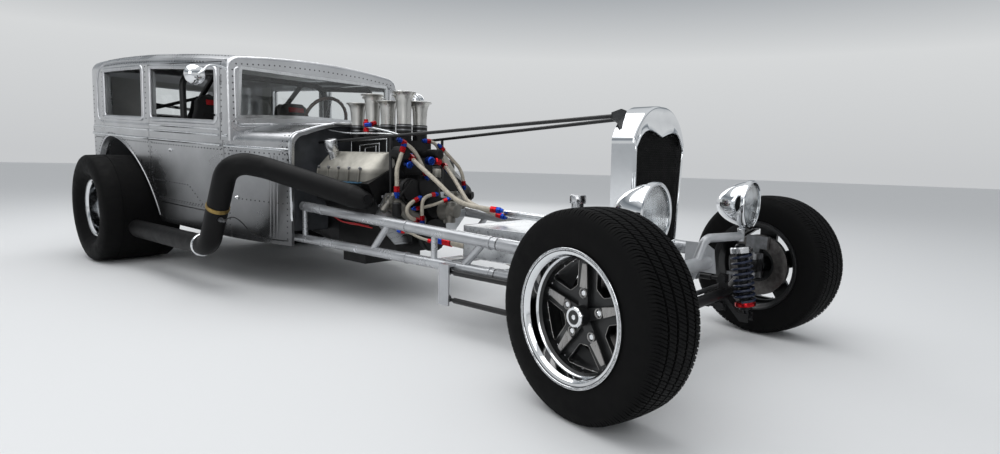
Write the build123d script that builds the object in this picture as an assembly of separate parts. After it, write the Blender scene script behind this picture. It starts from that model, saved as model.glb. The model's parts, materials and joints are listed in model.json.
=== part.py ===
from build123d import *
from math import cos, radians, sin, sqrt
import os

# Stretched street rod with a chopped two-door sedan body, an open V8 and a tube chassis.
# Millimetres, +Z up, the nose points towards -Y and +X is the car's left side.
# Stations along Y are counted back from the front axle line and heights up from the ground.
# At the end everything is shifted along Y so that the origin lies under the middle of the car.

os.makedirs("parts", exist_ok=True)

# Wheels and track
wheelbase = 3990
front_track = 1448
rear_track = 1460
steer_rest = -11.5
front_tyre_radius = 324
front_tyre_width = 210
front_tread_width = 164
front_rim_width = 218
rear_tyre_radius = 374.6
rear_tyre_width = 500
rear_tread_width = 452
rear_rim_width = 396
bead_radius = 190.5
rim_lip_radius = 208
rim_wall = 7
bead_gap = 0.3
spoke_count = 5
lug_circle = 57
kingpin_offset = 105
disc_radius = 142
disc_thickness = 20
front_disc_offset = 52

# Tube chassis
rail_x = 360
upper_rail_radius = 27
lower_rail_radius = 25
cross_tube_radius = 19
upper_rail_front_z = 415
upper_rail_rear_z = 490
lower_rail_z = 297
rail_front_y = 150
rail_rear_y = 4740
kick_start_y = 3420
kick_end_y = 3640
kick_z = 532
crossmember_z = 362
crossmember_radius = 30

# Body, in its own level frame before it is raked nose-down
body_rake = 2.5
rake_pivot_y = 2180
body_front_y = 2208
pillar_y = 2635
body_rear_y = 4905
cowl_half = 458
pillar_half = 598
middle_half = 702
rear_half = 684
sill_z = 262
belt_z = 832
widest_y = 3850
tail_bow = 22
tail_corner = 150
pillar_corner = 34
header_low_y = 2618
header_high_y = 2640
side_lean = 6
rear_lean = 0
crown_y = 4100
crown_z = 1405
crown_length_radius = 18200
crown_width_radius = 4630
roof_edge_radius = 85
header_edge_radius = 20
wall = 36
roof_wall = 26
cowl_wall = 16
belt_band = 5
belt_band_low_z = 806
belt_band_high_z = 853
belt_bead = 9
belt_bead_height = 9
seam_step = 1
door_gap = 5

# Doors and windows, in the body's level frame
door_front_y = 2704
door_rear_y = 3600
door_bottom_z = 395
door_top_z = 1274
window_sill_z = 938
window_top_z = 1260
window_corner = 28
quarter_front_y = 3702
quarter_rear_y = 4460
door_window_front_y = 2752
door_window_rear_y = 3576
screen_half = 556
screen_sill_z = 960
screen_arch = 26
screen_top_z = 1262
screen_corner = 26
screen_frame = 20
glass_thickness = 5
rear_window_half = 270
rear_window_low_z = 985
rear_window_high_z = 1205
rear_window_corner = 40

# Wheel arch, in the body's level frame
arch_front_y = 3440
arch_top_y = 4275
arch_top_z = 792
arch_rear_y = 4672
tub_share = 0.7
tub_wall = 8

# Floor and firewall
floor_z = 338
floor_thickness = 6
raised_floor_z = 602
firewall_y = 2262
firewall_thickness = 8
tunnel_half = 185
tunnel_z = 560
rear_tunnel_half = 98
rear_tunnel_z = 455
tunnel_step_y = 2880

# Engine
crank_z = 365
engine_front_y = 1600
engine_rear_y = 2135
motor_plate_thickness = 11
motor_plate_top = 592
block_half = 185
head_half = 300
deck_z = 560
cover_outer_x = 352
cover_inner_x = 185
cover_low_z = 640
cover_high_z = 806
cover_seat = 0.4
valley_top_z = 690
manifold_top_z = 930
stack_row_x = 57
stack_front_y = 1694
stack_pitch = 141
tall_stack_z = 1132
short_stack_z = 1088
stack_bore = 33
stack_bore_length = 60
stack_radius = 42
stack_flare_radius = 63
exhaust_radius = 57.5
exhaust_wall = 4
exhaust_x = 802
exhaust_tip_y = 3570
exhaust_side_z = 262

# Radiator shell, tank and nose
shell_front_y = 190
shell_depth = 100
shell_half = 214
shell_base_half = 194
shell_base_z = 438
shell_shoulder_z = 866
shell_peak_z = 1002
shell_skin = 6
shell_face = 14
shell_lobe_z = 904
shell_dip_z = 882
shell_opening_z = 838
filler_y = 500
filler_x = -110
tank_front_y = 600
tank_rear_y = 1045
tank_half = 252
tank_top_z = 473
tank_bottom_z = 326.6
lamp_x = 450
lamp_z = 612
lamp_front_y = -25
lamp_radius = 106
lamp_depth = 150
lens_thickness = 5

# Front axle
axle_drop_z = 212
axle_tube_radius = 24
kingpin_z = 324
kingpin_radius = 11
coilover_x = 450
coilover_top_z = 440
coilover_bottom_z = 118
spring_radius = 47
coil_bottom_y = -48
coil_top_y = 6
coil_eye_half = 26
link_x = 403
upper_link_z = 281
lower_link_z = 156
link_radius = 12.5
link_eye_half = 13
link_eye_radius = 19
link_front_y = 55
link_rear_y = 985
arm_length = 115
tie_rod_z = 236
tie_rod_radius = 11
joint_gap = 5
seat_gap = 0.3
running_gap = 0.08
spindle_radius = 14
knuckle_face = 42
beam_set_back = 55

# Cabin
seat_x = 310
seat_width = 390
seat_front_y = 2905
seat_rear_y = 3345
seat_base_z = 344.3
cushion_top_z = 500
seat_top_z = 1215
cage_radius = 20.5
cage_x = 545
cage_top_z = 1318
wheel_ring_radius = 185
wheel_ring_tube = 14
column_x = 290
steering_wheel_y = 2990
steering_wheel_z = 1030
column_tilt = 22

front_x = front_track / 2
rear_x = rear_track / 2
# The wheel tub's inner wall stands between the frame rail and the rear tyre.
tub_low_x = rail_x + lower_rail_radius
tub_inner_x = tub_low_x + tub_share * (rear_x - rear_tyre_width / 2 - tub_wall - tub_low_x)
tyre_bead_radius = bead_radius + bead_gap


def export(name, shape):
    """Write one node, shifted to the frame whose origin is under the middle of the car."""
    moved = Pos(0, -middle_y, 0) * shape
    moved.label = name
    export_step(moved, f"parts/{name}.step")


def raked(shape):
    return shape.rotate(Axis((0, rake_pivot_y, 0), (1, 0, 0)), body_rake)


def mirrored(shape):
    """The shape and its twin on the other side of the car."""
    return shape + shape.mirror(Plane.YZ)


def rod(start, end, radius, hole=0):
    """A round bar, or a tube with a hole, from one point to another."""
    axis = Vector(*end) - Vector(*start)
    place = Plane(origin=start, z_dir=axis)
    profile = Circle(radius) - Circle(hole) if hole else Circle(radius)
    return extrude(place * profile, axis.length)


def tube(points, radius, bend, hole=0):
    """A bent tube: straight runs joined by tangent arcs."""
    path = FilletPolyline(*points, radius=bend)
    place = Plane(origin=path @ 0, z_dir=path % 0)
    profile = Circle(radius) - Circle(hole) if hole else Circle(radius)
    return sweep(place * profile, path=path)


def block(x, y, z):
    """A box given by its low and high limit along each axis."""
    size = (x[1] - x[0], y[1] - y[0], z[1] - z[0])
    return Pos((x[0] + x[1]) / 2, (y[0] + y[1]) / 2, (z[0] + z[1]) / 2) * Box(*size)


def side_face(points, x=0):
    """A polygon of (y, z) points in the plane at x."""
    return make_face(Polyline(*[(x, y, z) for y, z in points], close=True))


def front_face(points, y=0):
    """A polygon of (x, z) points in the plane at y."""
    return make_face(Polyline(*[(x, y, z) for x, z in points], close=True))


def along_x(face, half):
    return extrude(face, amount=half, dir=(1, 0, 0), both=True)


def along_y(face, length):
    return extrude(face, amount=length, dir=(0, 1, 0))


# Wheels. Each is made about the X axis with its outer face towards +X.

def turned(points):
    """A solid of revolution about the X axis from (x, radius) points."""
    face = make_face(Polyline(*[(x, 0, r) for x, r in points], close=True))
    return revolve(face, Axis.X)


def tyre(radius, width, tread, rim_width, crown, shoulder):
    bead = rim_width / 2 - rim_wall
    bulge_r = rim_lip_radius + 0.42 * (radius - rim_lip_radius)
    edge_r = radius - crown
    flange_r = rim_lip_radius + bead_gap
    inner = Line((-bead, 0, tyre_bead_radius), (bead, 0, tyre_bead_radius))
    outer_flange = Line((bead, 0, tyre_bead_radius), (bead, 0, flange_r))
    outer_wall = ThreePointArc((bead, 0, flange_r), (width / 2, 0, bulge_r), (tread / 2, 0, edge_r))
    crown_arc = ThreePointArc((tread / 2, 0, edge_r), (0, 0, radius), (-tread / 2, 0, edge_r))
    inner_wall = ThreePointArc((-tread / 2, 0, edge_r), (-width / 2, 0, bulge_r), (-bead, 0, flange_r))
    inner_flange = Line((-bead, 0, flange_r), (-bead, 0, tyre_bead_radius))
    section = make_face([inner, outer_flange, outer_wall, crown_arc, inner_wall, inner_flange])
    corners = section.vertices().sort_by(Axis.Z)[-2:]
    section = fillet(corners, shoulder)
    return revolve(section, Axis.X)


def barrel(rim_width, well_start, well_end):
    """The rim's hoop, with its flanges, bead seats and drop centre."""
    half = rim_width / 2
    seat = half - rim_wall - bead_gap
    well = bead_radius - 12
    outside = [
        (half, rim_lip_radius),
        (seat, rim_lip_radius),
        (seat, bead_radius),
        (well_start + 10, bead_radius),
        (well_start, well),
        (well_end, well),
        (well_end - 10, bead_radius),
        (-seat, bead_radius),
        (-seat, rim_lip_radius),
        (-half, rim_lip_radius),
    ]
    inside = [
        (-half, rim_lip_radius - rim_wall),
        (-seat + 6, bead_radius - rim_wall),
        (well_end - 10, bead_radius - rim_wall),
        (well_end + 4, well - rim_wall),
        (well_start - 4, well - rim_wall),
        (well_start + 10, bead_radius - rim_wall),
        (seat - 8, bead_radius - rim_wall),
        (half, rim_lip_radius - rim_wall),
    ]
    return turned(outside + inside)


def wheel_centre(face_x, hub_radius, hub_out):
    """Five webs with raised tapered spokes, lug pockets and a protruding hub."""
    reach = bead_radius - 12 - rim_wall / 2
    plate_back = face_x - 16
    plate = Pos(face_x - 8, 0, 0) * Rotation(0, 90, 0) * Cylinder(reach, 16)
    window_low = 92
    window_high = reach - 12
    half_low = 0.5 * window_low * radians(22)
    half_high = 0.5 * window_high * radians(47)
    window = make_face(Polyline(
        (plate_back - 20, -half_low, window_low),
        (plate_back - 20, -half_high, window_high),
        (plate_back - 20, half_high, window_high),
        (plate_back - 20, half_low, window_low),
        close=True,
    ))
    window = extrude(fillet(window.vertices(), 7), amount=60, dir=(1, 0, 0))
    spoke = make_face(Polyline(
        (face_x - 2, -19, hub_radius - 4),
        (face_x - 2, -10, reach - 4),
        (face_x - 2, 10, reach - 4),
        (face_x - 2, 19, hub_radius - 4),
        close=True,
    ))
    spoke = extrude(spoke, amount=16, dir=(1, 0, 0))
    pocket = Pos(face_x + 6, 0, lug_circle + 12) * Rotation(0, 90, 0) * Cylinder(14, 30)
    nut = Pos(face_x + 2, 0, lug_circle + 12) * Rotation(0, 90, 0) * Cylinder(9, 22)
    centre = plate
    for step in range(spoke_count):
        turn = Rotation(360 / spoke_count * step, 0, 0)
        between = Rotation(360 / spoke_count * (step + 0.5), 0, 0)
        centre = centre - between * window + turn * spoke - turn * pocket + turn * nut
    hub = Pos(face_x + (hub_out - 16) / 2, 0, 0) * Rotation(0, 90, 0) * Cylinder(hub_radius, hub_out + 16)
    cap = Pos(face_x + hub_out, 0, 0) * Rotation(0, 90, 0) * Cylinder(hub_radius * 0.82, 8)
    return centre + hub + cap


def rotor(offset, hub_back, hub_start, bore):
    """Brake disc with its hat, and the hub that carries the wheel."""
    disc = Pos(offset, 0, 0) * Rotation(0, 90, 0) * (
        Cylinder(disc_radius, disc_thickness) - Cylinder(74, disc_thickness + 2))
    hat = turned([
        (offset - disc_thickness / 2, 76),
        (offset + disc_thickness / 2, 76),
        (hub_back, 76),
        (hub_back, bore),
        (hub_start, bore),
        (hub_start, 34),
        (hub_back - 6, 34),
        (hub_back - 6, 68),
        (offset - disc_thickness / 2, 68),
    ])
    return disc + hat


front_face_x = 28
rear_face_x = -40
front_tyre = tyre(front_tyre_radius, front_tyre_width, front_tread_width, front_rim_width, 3, 16)
rear_tyre = tyre(rear_tyre_radius, rear_tyre_width, rear_tread_width, rear_rim_width, 5, 30)
front_rim = barrel(front_rim_width, 55, -30) + wheel_centre(front_face_x, 31, 48)
rear_rim = barrel(rear_rim_width, 20, -90) + wheel_centre(rear_face_x, 34, 30)
spindle_reach = 24
front_bore = Pos(spindle_reach - 84, 0, 0) * Rotation(0, 90, 0) * Cylinder(spindle_radius + running_gap, 180)
front_rim = front_rim - front_bore
hub_start_x = knuckle_face + 1 - kingpin_offset
front_rotor = rotor(-front_disc_offset, front_face_x - 16, hub_start_x, spindle_radius + running_gap)
front_rim = front_rim + front_rotor


def front_place(side):
    """Where a front wheel stands: side is 1 for the left and -1 for the right."""
    turn = steer_rest + (180 if side < 0 else 0)
    shift = side * kingpin_offset * sin(radians(steer_rest))
    return Pos(side * front_x, shift, front_tyre_radius) * Rotation(0, 0, turn)


def rear_place(side):
    return Pos(side * rear_x, wheelbase, rear_tyre_radius) * Rotation(0, 0, 180 if side < 0 else 0)


wheels = {}
for side, word in ((1, "left"), (-1, "right")):
    wheels[f"tyre_front_{word}"] = front_place(side) * front_tyre
    wheels[f"rim_front_{word}"] = front_place(side) * front_rim
    wheels[f"tyre_rear_{word}"] = rear_place(side) * rear_tyre
    wheels[f"rim_rear_{word}"] = rear_place(side) * rear_rim

# The nose-most point is the left front tyre, and the tail is the body's rear panel.
front_reach = min(wheels["tyre_front_left"].bounding_box().min.Y,
                  wheels["tyre_front_right"].bounding_box().min.Y)


# Body shell. The cabin is a plan outline with bowed sides, a leaning upper part and a crowned roof.

def plan(z, inset, lean, tail_lean, front_y, front_corner):
    """The cabin seen from above at one height."""
    front_half = pillar_half - inset - lean
    widest_half = middle_half - inset - lean
    back_half = rear_half - inset - lean
    back_y = body_rear_y - tail_bow - inset - tail_lean
    left = ThreePointArc((front_half, front_y, z), (widest_half, widest_y, z), (back_half, back_y, z))
    tail = ThreePointArc((back_half, back_y, z), (0, back_y + tail_bow, z), (-back_half, back_y, z))
    right = ThreePointArc((-back_half, back_y, z), (-widest_half, widest_y, z), (-front_half, front_y, z))
    nose = Line((-front_half, front_y, z), (front_half, front_y, z))
    face = make_face([left, tail, right, nose])
    face = fillet(face.vertices().sort_by(Axis.Y)[2:], tail_corner - inset)
    if front_corner:
        face = fillet(face.vertices().sort_by(Axis.Y)[:2], front_corner)
    return face


def lower_tub(inset, bottom, top):
    front_corner = max(8, pillar_corner - inset)
    return extrude(plan(bottom, inset, 0, 0, pillar_y + inset, front_corner), amount=top - bottom)


def crown_solid(drop):
    """Everything under the roof's double-curved surface: an arc across the car swept along a longer arc."""
    across = crown_width_radius - drop
    along = crown_length_radius - drop
    top = crown_z - drop
    half = middle_half + 200
    edge_z = top - across + sqrt(across * across - half * half)
    arc = ThreePointArc((-half, crown_y, edge_z), (0, crown_y, top), (half, crown_y, edge_z))
    base = Polyline((half, crown_y, edge_z), (half, crown_y, sill_z), (-half, crown_y, sill_z), (-half, crown_y, edge_z))
    axis = Axis((0, crown_y, top - along), (1, 0, 0))
    swing = 10
    return revolve(make_face([arc] + list(base.edges())).rotate(axis, -swing), axis, 2 * swing)


def upper_body(inset, drop, bottom, nose_edge=0):
    """Leaning walls under the crowned roof, with a rolled edge and a flat windscreen header."""
    overrun = 180
    over_z = crown_z + 60
    rise = (over_z - bottom) / (crown_z - belt_z)
    low = plan(bottom, inset, 0, 0, pillar_y - overrun, 0)
    high = plan(over_z, inset, side_lean * rise, rear_lean * rise, pillar_y - overrun, 0)
    solid = loft([low, high], ruled=True) & crown_solid(drop)
    roof_face = solid.faces().sort_by(Axis.Z)[-1]
    rolled = [edge for edge in roof_face.edges() if edge.center().Y > pillar_y - overrun / 2]
    solid = fillet(rolled, roof_edge_radius - drop)
    header = side_face([
        (header_low_y + inset, bottom - 50),
        (header_low_y + inset, belt_z),
        (header_high_y + inset, over_z),
        (pillar_y - 2 * overrun, over_z),
        (pillar_y - 2 * overrun, bottom - 50),
    ])
    solid = solid - along_x(header, 1000)
    if nose_edge:
        front = solid.faces().sort_by(Axis.Y)[0]
        solid = fillet([edge for edge in front.edges() if edge.center().Z > bottom + 5], nose_edge)
    return solid


def cowl_section(y, half, inset, top):
    """Upright sides, rounded shoulders and a crowned top."""
    half = half - inset
    top = top - inset
    low = sill_z - 2 if inset else sill_z
    shoulder_x = half - 70
    shoulder_z = top - 72
    side_top = top - 150
    left = Line((half, y, low), (half, y, side_top))
    left_arc = ThreePointArc((half, y, side_top), (half - 17, y, side_top + 53), (shoulder_x, y, shoulder_z))
    crown = ThreePointArc((shoulder_x, y, shoulder_z), (0, y, top), (-shoulder_x, y, shoulder_z))
    right_arc = ThreePointArc((-shoulder_x, y, shoulder_z), (17 - half, y, side_top + 53), (-half, y, side_top))
    right = Line((-half, y, side_top), (-half, y, low))
    base = Line((-half, y, low), (half, y, low))
    return make_face([left, left_arc, crown, right_arc, right, base])


def cowl(inset, front_over=0, rear_over=0):
    # Columns: station, half width and height of the crown.
    stations = ((body_front_y, cowl_half, 978), ((body_front_y + pillar_y) / 2, 540, 974), (pillar_y, pillar_half, 968))
    faces = [cowl_section(y, half, inset, top) for y, half, top in stations]
    solid = loft(faces)
    if front_over:
        solid = solid + extrude(faces[0], amount=front_over, dir=(0, -1, 0))
    if rear_over:
        solid = solid + extrude(faces[-1], amount=rear_over, dir=(0, 1, 0))
    return solid


def arch_face(grow, x=0):
    """Side view of the wheel opening: a long arc rises from the sill and a tighter one falls behind the wheel."""
    foot = sill_z - 60
    front = ThreePointArc(
        (x, arch_front_y, foot),
        (x, arch_front_y + 260, foot + 347),
        (x, arch_top_y, arch_top_z),
    )
    rear = TangentArc((x, arch_top_y, arch_top_z), (x, arch_rear_y, foot), tangent=front % 1)
    base = Line((x, arch_rear_y, foot), (x, arch_front_y, foot))
    face = make_face([front, rear, base])
    return offset(face, grow) if grow else face


def door_face(grow, x=0):
    """Side view of a door, its lower rear corner cut to follow the wheel arch."""
    face = side_face([
        (door_front_y, door_bottom_z),
        (door_rear_y - 95, door_bottom_z),
        (door_rear_y, 520),
        (door_rear_y, door_top_z),
        (door_front_y, door_top_z),
    ], x)
    return offset(face, grow) if grow else face


def window_cut(front_y, rear_y, low_z, high_z, slope=0):
    face = side_face([
        (front_y, low_z),
        (rear_y, low_z),
        (rear_y, high_z),
        (front_y, high_z - slope),
    ])
    return along_x(fillet(face.vertices(), window_corner), 1000)


outer_body = lower_tub(-seam_step, sill_z, belt_z) + upper_body(0, 0, belt_z, header_edge_radius) + cowl(0)
band = lower_tub(-belt_band, belt_band_low_z, belt_band_high_z)
bead = lower_tub(-belt_bead, belt_band_low_z - belt_bead_height, belt_band_low_z)
outer_body = outer_body + ((band + bead) & block((-900, 900), (pillar_y + 2, 5200), (0, 2000)))
inner_body = (lower_tub(wall, sill_z - 2, belt_z) + upper_body(wall + seam_step, roof_wall, belt_z - 0.5)
              + cowl(cowl_wall, front_over=5, rear_over=wall + 4))
shell = outer_body - inner_body


def screen_face(inset, y):
    """The windscreen's outline, its lower edge arched to sit on the cowl."""
    half = screen_half - inset
    top_half = half - 14
    low = screen_sill_z + inset
    high = screen_top_z - inset
    sill = ThreePointArc((-half, y, low), (0, y, low + screen_arch), (half, y, low))
    right = Line((half, y, low), (top_half, y, high))
    top = Line((top_half, y, high), (-top_half, y, high))
    left = Line((-top_half, y, high), (-half, y, low))
    face = make_face([sill, right, top, left])
    return fillet(face.vertices(), max(screen_corner - inset, 4))


def rear_window_face(inset, y):
    half = rear_window_half - inset
    face = front_face([
        (-half, rear_window_low_z + inset),
        (half, rear_window_low_z + inset),
        (half - 10, rear_window_high_z - inset),
        (10 - half, rear_window_high_z - inset),
    ], y)
    return fillet(face.vertices(), rear_window_corner - inset)


screen = along_y(screen_face(0, header_low_y - 8), 100)
rear_window = along_y(rear_window_face(0, 4700), 300)
quarter = window_cut(quarter_front_y, quarter_rear_y, window_sill_z, window_top_z + 2)
door_window = window_cut(door_window_front_y, door_window_rear_y, window_sill_z, window_top_z, 26)
wheel_opening = along_x(arch_face(0), 1000)
shell = shell - screen - rear_window - quarter - wheel_opening

door_zone = extrude(door_face(0, 300), amount=600, dir=(1, 0, 0))
door_hole = extrude(door_face(door_gap, 300), amount=600, dir=(1, 0, 0))
door_left = (shell & door_zone) - door_window
door_right = door_left.mirror(Plane.YZ)
shell = shell - door_hole - door_hole.mirror(Plane.YZ)

# Firewall: a recessed panel behind the cowl's lip, notched for the bell housing.
firewall_slab = block((-600, 600), (firewall_y, firewall_y + firewall_thickness), (floor_z + 2, 1100))
firewall = (cowl(cowl_wall + 0.3) & firewall_slab) - block((-tunnel_half, tunnel_half), (2000, 2400), (0, tunnel_z))

# Wheel tubs: a deep pocket over each rear wheel, open below and slotted for the axle.
tub = extrude(arch_face(0.5, tub_inner_x), amount=middle_half - wall - 20 - tub_inner_x, dir=(1, 0, 0))
tub_inside = extrude(arch_face(-tub_wall, tub_inner_x + tub_wall), amount=400, dir=(1, 0, 0))
tub = (tub - tub_inside - block((300, 900), (3000, 5000), (0, 300))) & lower_tub(wall + seat_gap, 0, 1400)
axle_slot = block((300, tub_inner_x + 60), (wheelbase - 120, wheelbase + 120), (0, rear_tyre_radius + 75))

shell = raked(shell)
firewall = raked(firewall)
door_left = raked(door_left)
door_right = raked(door_right)
wheel_tubs = mirrored(raked(tub) - axle_slot)

rear_reach = shell.bounding_box().max.Y
middle_y = (front_reach + rear_reach) / 2

# Windscreen frame and glass.
screen_y = header_high_y - 2
windscreen_frame = raked(along_y(screen_face(seat_gap, screen_y) - screen_face(screen_frame, screen_y), 18))
windscreen_glass = raked(along_y(screen_face(screen_frame + seat_gap, screen_y + 6), glass_thickness))
rear_glass = raked(along_y(rear_window_face(seat_gap, body_rear_y - wall + 10), glass_thickness))


# Floor: a flat pan with a tunnel, stepping up over the rear axle.
def arch_prism(half, top, y0, y1, low):
    """A tunnel with upright sides and a half-round top."""
    spring = top - half * 0.6
    curve = ThreePointArc((half, y0, spring), (0, y0, top), (-half, y0, spring))
    legs = [Line((-half, y0, spring), (-half, y0, low)), Line((half, y0, low), (half, y0, spring))]
    base = Line((-half, y0, low), (half, y0, low))
    return extrude(make_face([curve, legs[0], base, legs[1]]), amount=y1 - y0, dir=(0, 1, 0))


floor_top = floor_z + floor_thickness
cabin_front = firewall_y - 4
step_y = 3400
cabin_plan = raked(lower_tub(wall + 4, -200, 1300))
cabin_room = cabin_plan + extrude(front_face([
    (cowl_wall + 4 - cowl_half, 0),
    (cowl_half - cowl_wall - 4, 0),
    (cowl_half - cowl_wall - 4, 1400),
    (cowl_wall + 4 - cowl_half, 1400),
], cabin_front),
    amount=pillar_y + 80 - cabin_front, dir=(0, 1, 0))
front_floor = block((-900, 900), (cabin_front, step_y), (floor_z, floor_top))
step_wall = block((-900, 900), (step_y, step_y + floor_thickness), (floor_z, raised_floor_z + floor_thickness))
rear_floor = block((-900, 900), (step_y, 5200), (raised_floor_z, raised_floor_z + floor_thickness))
between_tubs = block((-tub_inner_x + 1, tub_inner_x - 1), (step_y, 5200), (0, 2000))
tunnel = arch_prism(tunnel_half, tunnel_z, cabin_front, tunnel_step_y + 6, floor_z)
tunnel_void = arch_prism(tunnel_half - 6, tunnel_z - 6, cabin_front - 1, tunnel_step_y, floor_z - 1)
rear_tunnel = arch_prism(rear_tunnel_half, rear_tunnel_z, tunnel_step_y, step_y + 2, floor_z)
rear_tunnel_void = arch_prism(rear_tunnel_half - 6, rear_tunnel_z - 6, tunnel_step_y - 20, step_y + 40, floor_z - 1)
floor_pan = front_floor & cabin_room
floor_pan = floor_pan + ((step_wall + rear_floor) & between_tubs & cabin_room)
floor_pan = floor_pan + tunnel + rear_tunnel - tunnel_void - rear_tunnel_void

# Tube frame: an upper and a lower rail each side, diagonals, sleeves and cross tubes.
def rail_z(y):
    share = (y - 750) / (2310 - 750)
    return upper_rail_front_z + 14 + share * (upper_rail_rear_z - upper_rail_front_z - 14)


upper_end_y = 2228
upper_rail = rod((rail_x, rail_front_y, rail_z(rail_front_y)), (rail_x, upper_end_y, rail_z(upper_end_y)), upper_rail_radius)
lower_rail = tube([
    (rail_x, rail_front_y, lower_rail_z),
    (rail_x, kick_start_y, lower_rail_z),
    (rail_x, kick_end_y, kick_z),
    (rail_x, rail_rear_y, kick_z),
], lower_rail_radius, 110)
side_frame = upper_rail + lower_rail
# Columns: foot and head of each strut between the rails.
for foot_y, head_y in ((1585, 1440), (935, 800), (440, 300)):
    side_frame = side_frame + rod((rail_x, foot_y, lower_rail_z), (rail_x, head_y, rail_z(head_y)), 17)
for y in (rail_front_y + 16, 1115, upper_end_y - 16):
    side_frame = side_frame + rod((rail_x, y, lower_rail_z), (rail_x, y, rail_z(y)), 15)
# Sleeves at the welded joints of the rails.
for y in (755, 1300, 2020):
    side_frame = side_frame + rod((rail_x, y, rail_z(y)), (rail_x, y + 14, rail_z(y + 14)), upper_rail_radius + 3)
    side_frame = side_frame + rod((rail_x, y, lower_rail_z), (rail_x, y + 14, lower_rail_z), lower_rail_radius + 3)
frame_rails = mirrored(side_frame)
# Columns: station and height of each cross tube.
for y, z in ((rail_front_y + 16, lower_rail_z), (1115, lower_rail_z), (3050, lower_rail_z),
             (kick_start_y, lower_rail_z + 4), (3720, kick_z), (rail_rear_y - 20, kick_z)):
    frame_rails = frame_rails + rod((-rail_x, y, z), (rail_x, y, z), cross_tube_radius)
for y in (shell_front_y + shell_depth / 2, filler_y):
    frame_rails = frame_rails + rod((-rail_x, y, rail_z(y)), (rail_x, y, rail_z(y)), cross_tube_radius)
# Plates that carry the rear ends of the four bars.
hanger_x = link_x + link_eye_half + seat_gap
hanger = block((hanger_x, hanger_x + 8), (link_rear_y - 32, link_rear_y + 32), (130, lower_rail_z + 18))
hanger = hanger + block((rail_x + 18, hanger_x + 8), (link_rear_y - 32, link_rear_y + 32),
                        (lower_rail_z + 8, lower_rail_z + 18))
ladder_ear = block((225, 234), (kick_start_y - 14, kick_start_y + 46), (lower_rail_z + 4, lower_rail_z + 84))
frame_rails = frame_rails + mirrored(hanger + ladder_ear)

# Nose: cross tube with lightened end plates and the curved hoops that hold the coilovers and lamps.
cross_y = 92
hoop_radius = 19
plate_x = 300
front_crossmember = rod((-plate_x, cross_y, crossmember_z), (plate_x, cross_y, crossmember_z), crossmember_radius)
plate = side_face([(cross_y - 45, crossmember_z - 45), (cross_y + 30, crossmember_z - 45), (rail_front_y - 2, 268),
                   (rail_front_y + 40, 268), (rail_front_y + 40, 445), (cross_y + 10, 445), (cross_y - 30, 420)],
                  plate_x - 4)
plate = extrude(plate, amount=8, dir=(1, 0, 0))
plate = plate - Pos(plate_x, cross_y + 20, 412) * Rotation(0, 90, 0) * Cylinder(13, 20)
plate = plate - Pos(plate_x, rail_front_y + 16, lower_rail_z) * Rotation(0, 90, 0) * Cylinder(cross_tube_radius + seat_gap, 20)
tab = block((plate_x, rail_x - upper_rail_radius - seat_gap), (rail_front_y + 2, rail_front_y + 34),
            (rail_z(rail_front_y) - 3, rail_z(rail_front_y) + 3))
hoop = tube([
    (plate_x - 110, cross_y, crossmember_z + 10),
    (plate_x - 60, cross_y - 12, crossmember_z + 110),
    (coilover_x - 6, 8, crossmember_z + 112),
], hoop_radius, 52)
hoop_end = rod((coilover_x, 6, coilover_top_z + 12), (coilover_x, 6, coilover_top_z + 62), 15)
front_crossmember = front_crossmember + mirrored(plate + tab + hoop + hoop_end)

# Lamps on stalks above the coilovers.
lamp_stalk = rod((lamp_x, 6, coilover_top_z + 62 + seat_gap), (lamp_x, 6, lamp_z - lamp_radius + 12), 9)


def lamp_shell_solid():
    """A deep bowl turned about the Y axis, with a rolled rim."""
    points = [
        (0, lamp_depth),
        (45, lamp_depth - 8),
        (80, lamp_depth - 38),
        (lamp_radius - 6, 30),
        (lamp_radius, 12),
        (lamp_radius + 3, 0),
        (lamp_radius - 8, 0),
        (lamp_radius - 10, 28),
        (76, lamp_depth - 42),
        (42, lamp_depth - 14),
        (0, lamp_depth - 6),
    ]
    face = make_face(Polyline(*[(r, y, 0) for r, y in points], close=True))
    return revolve(face, Axis.Y)


lamp = Pos(lamp_x, lamp_front_y, lamp_z) * lamp_shell_solid()
lens_blank = Pos(lamp_x, lamp_front_y + 4, lamp_z) * Rotation(90, 0, 0) * Cylinder(lamp_radius - 9, lens_thickness)
headlamp_shells = mirrored(lamp + lamp_stalk)
headlamp_lenses = mirrored(lens_blank)

# Front axle: a dropped tube that rises to the kingpin bosses.
pin_x = front_x - kingpin_offset * cos(radians(steer_rest))
beam = tube([
    (16 - pin_x, 0, kingpin_z),
    (52 - pin_x, 6, kingpin_z - 4),
    (124 - pin_x, beam_set_back, axle_drop_z),
    (pin_x - 124, beam_set_back, axle_drop_z),
    (pin_x - 52, 6, kingpin_z - 4),
    (pin_x - 16, 0, kingpin_z),
], axle_tube_radius, 44)
boss = mirrored(rod((pin_x, 0, kingpin_z - 30), (pin_x, 0, kingpin_z + 30), 23))
bore = mirrored(rod((pin_x, 0, kingpin_z - 60), (pin_x, 0, kingpin_z + 60), kingpin_radius + 0.05))
ear_x = link_x + link_eye_half + seat_gap
bracket = block((ear_x, ear_x + 8), (link_front_y - 20, link_front_y + 20), (lower_link_z - 20, upper_link_z + 20))
cheek = side_face([
    (coil_bottom_y - 18, coilover_bottom_z - 20),
    (coil_bottom_y + 18, coilover_bottom_z - 20),
    (beam_set_back + 10, axle_drop_z - 14),
    (beam_set_back - 14, axle_drop_z - 8),
    (coil_bottom_y + 30, coilover_bottom_z + 22),
    (coil_bottom_y - 18, coilover_bottom_z + 16),
], coilover_x - coil_eye_half - seat_gap - 6)
cheek = extrude(cheek, amount=6, dir=(1, 0, 0))
cheek_shift = 2 * (coil_eye_half + seat_gap) + 6
bracket = bracket + cheek + Pos(cheek_shift, 0, 0) * cheek
front_axle = (beam + boss + mirrored(bracket)) - bore

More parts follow.
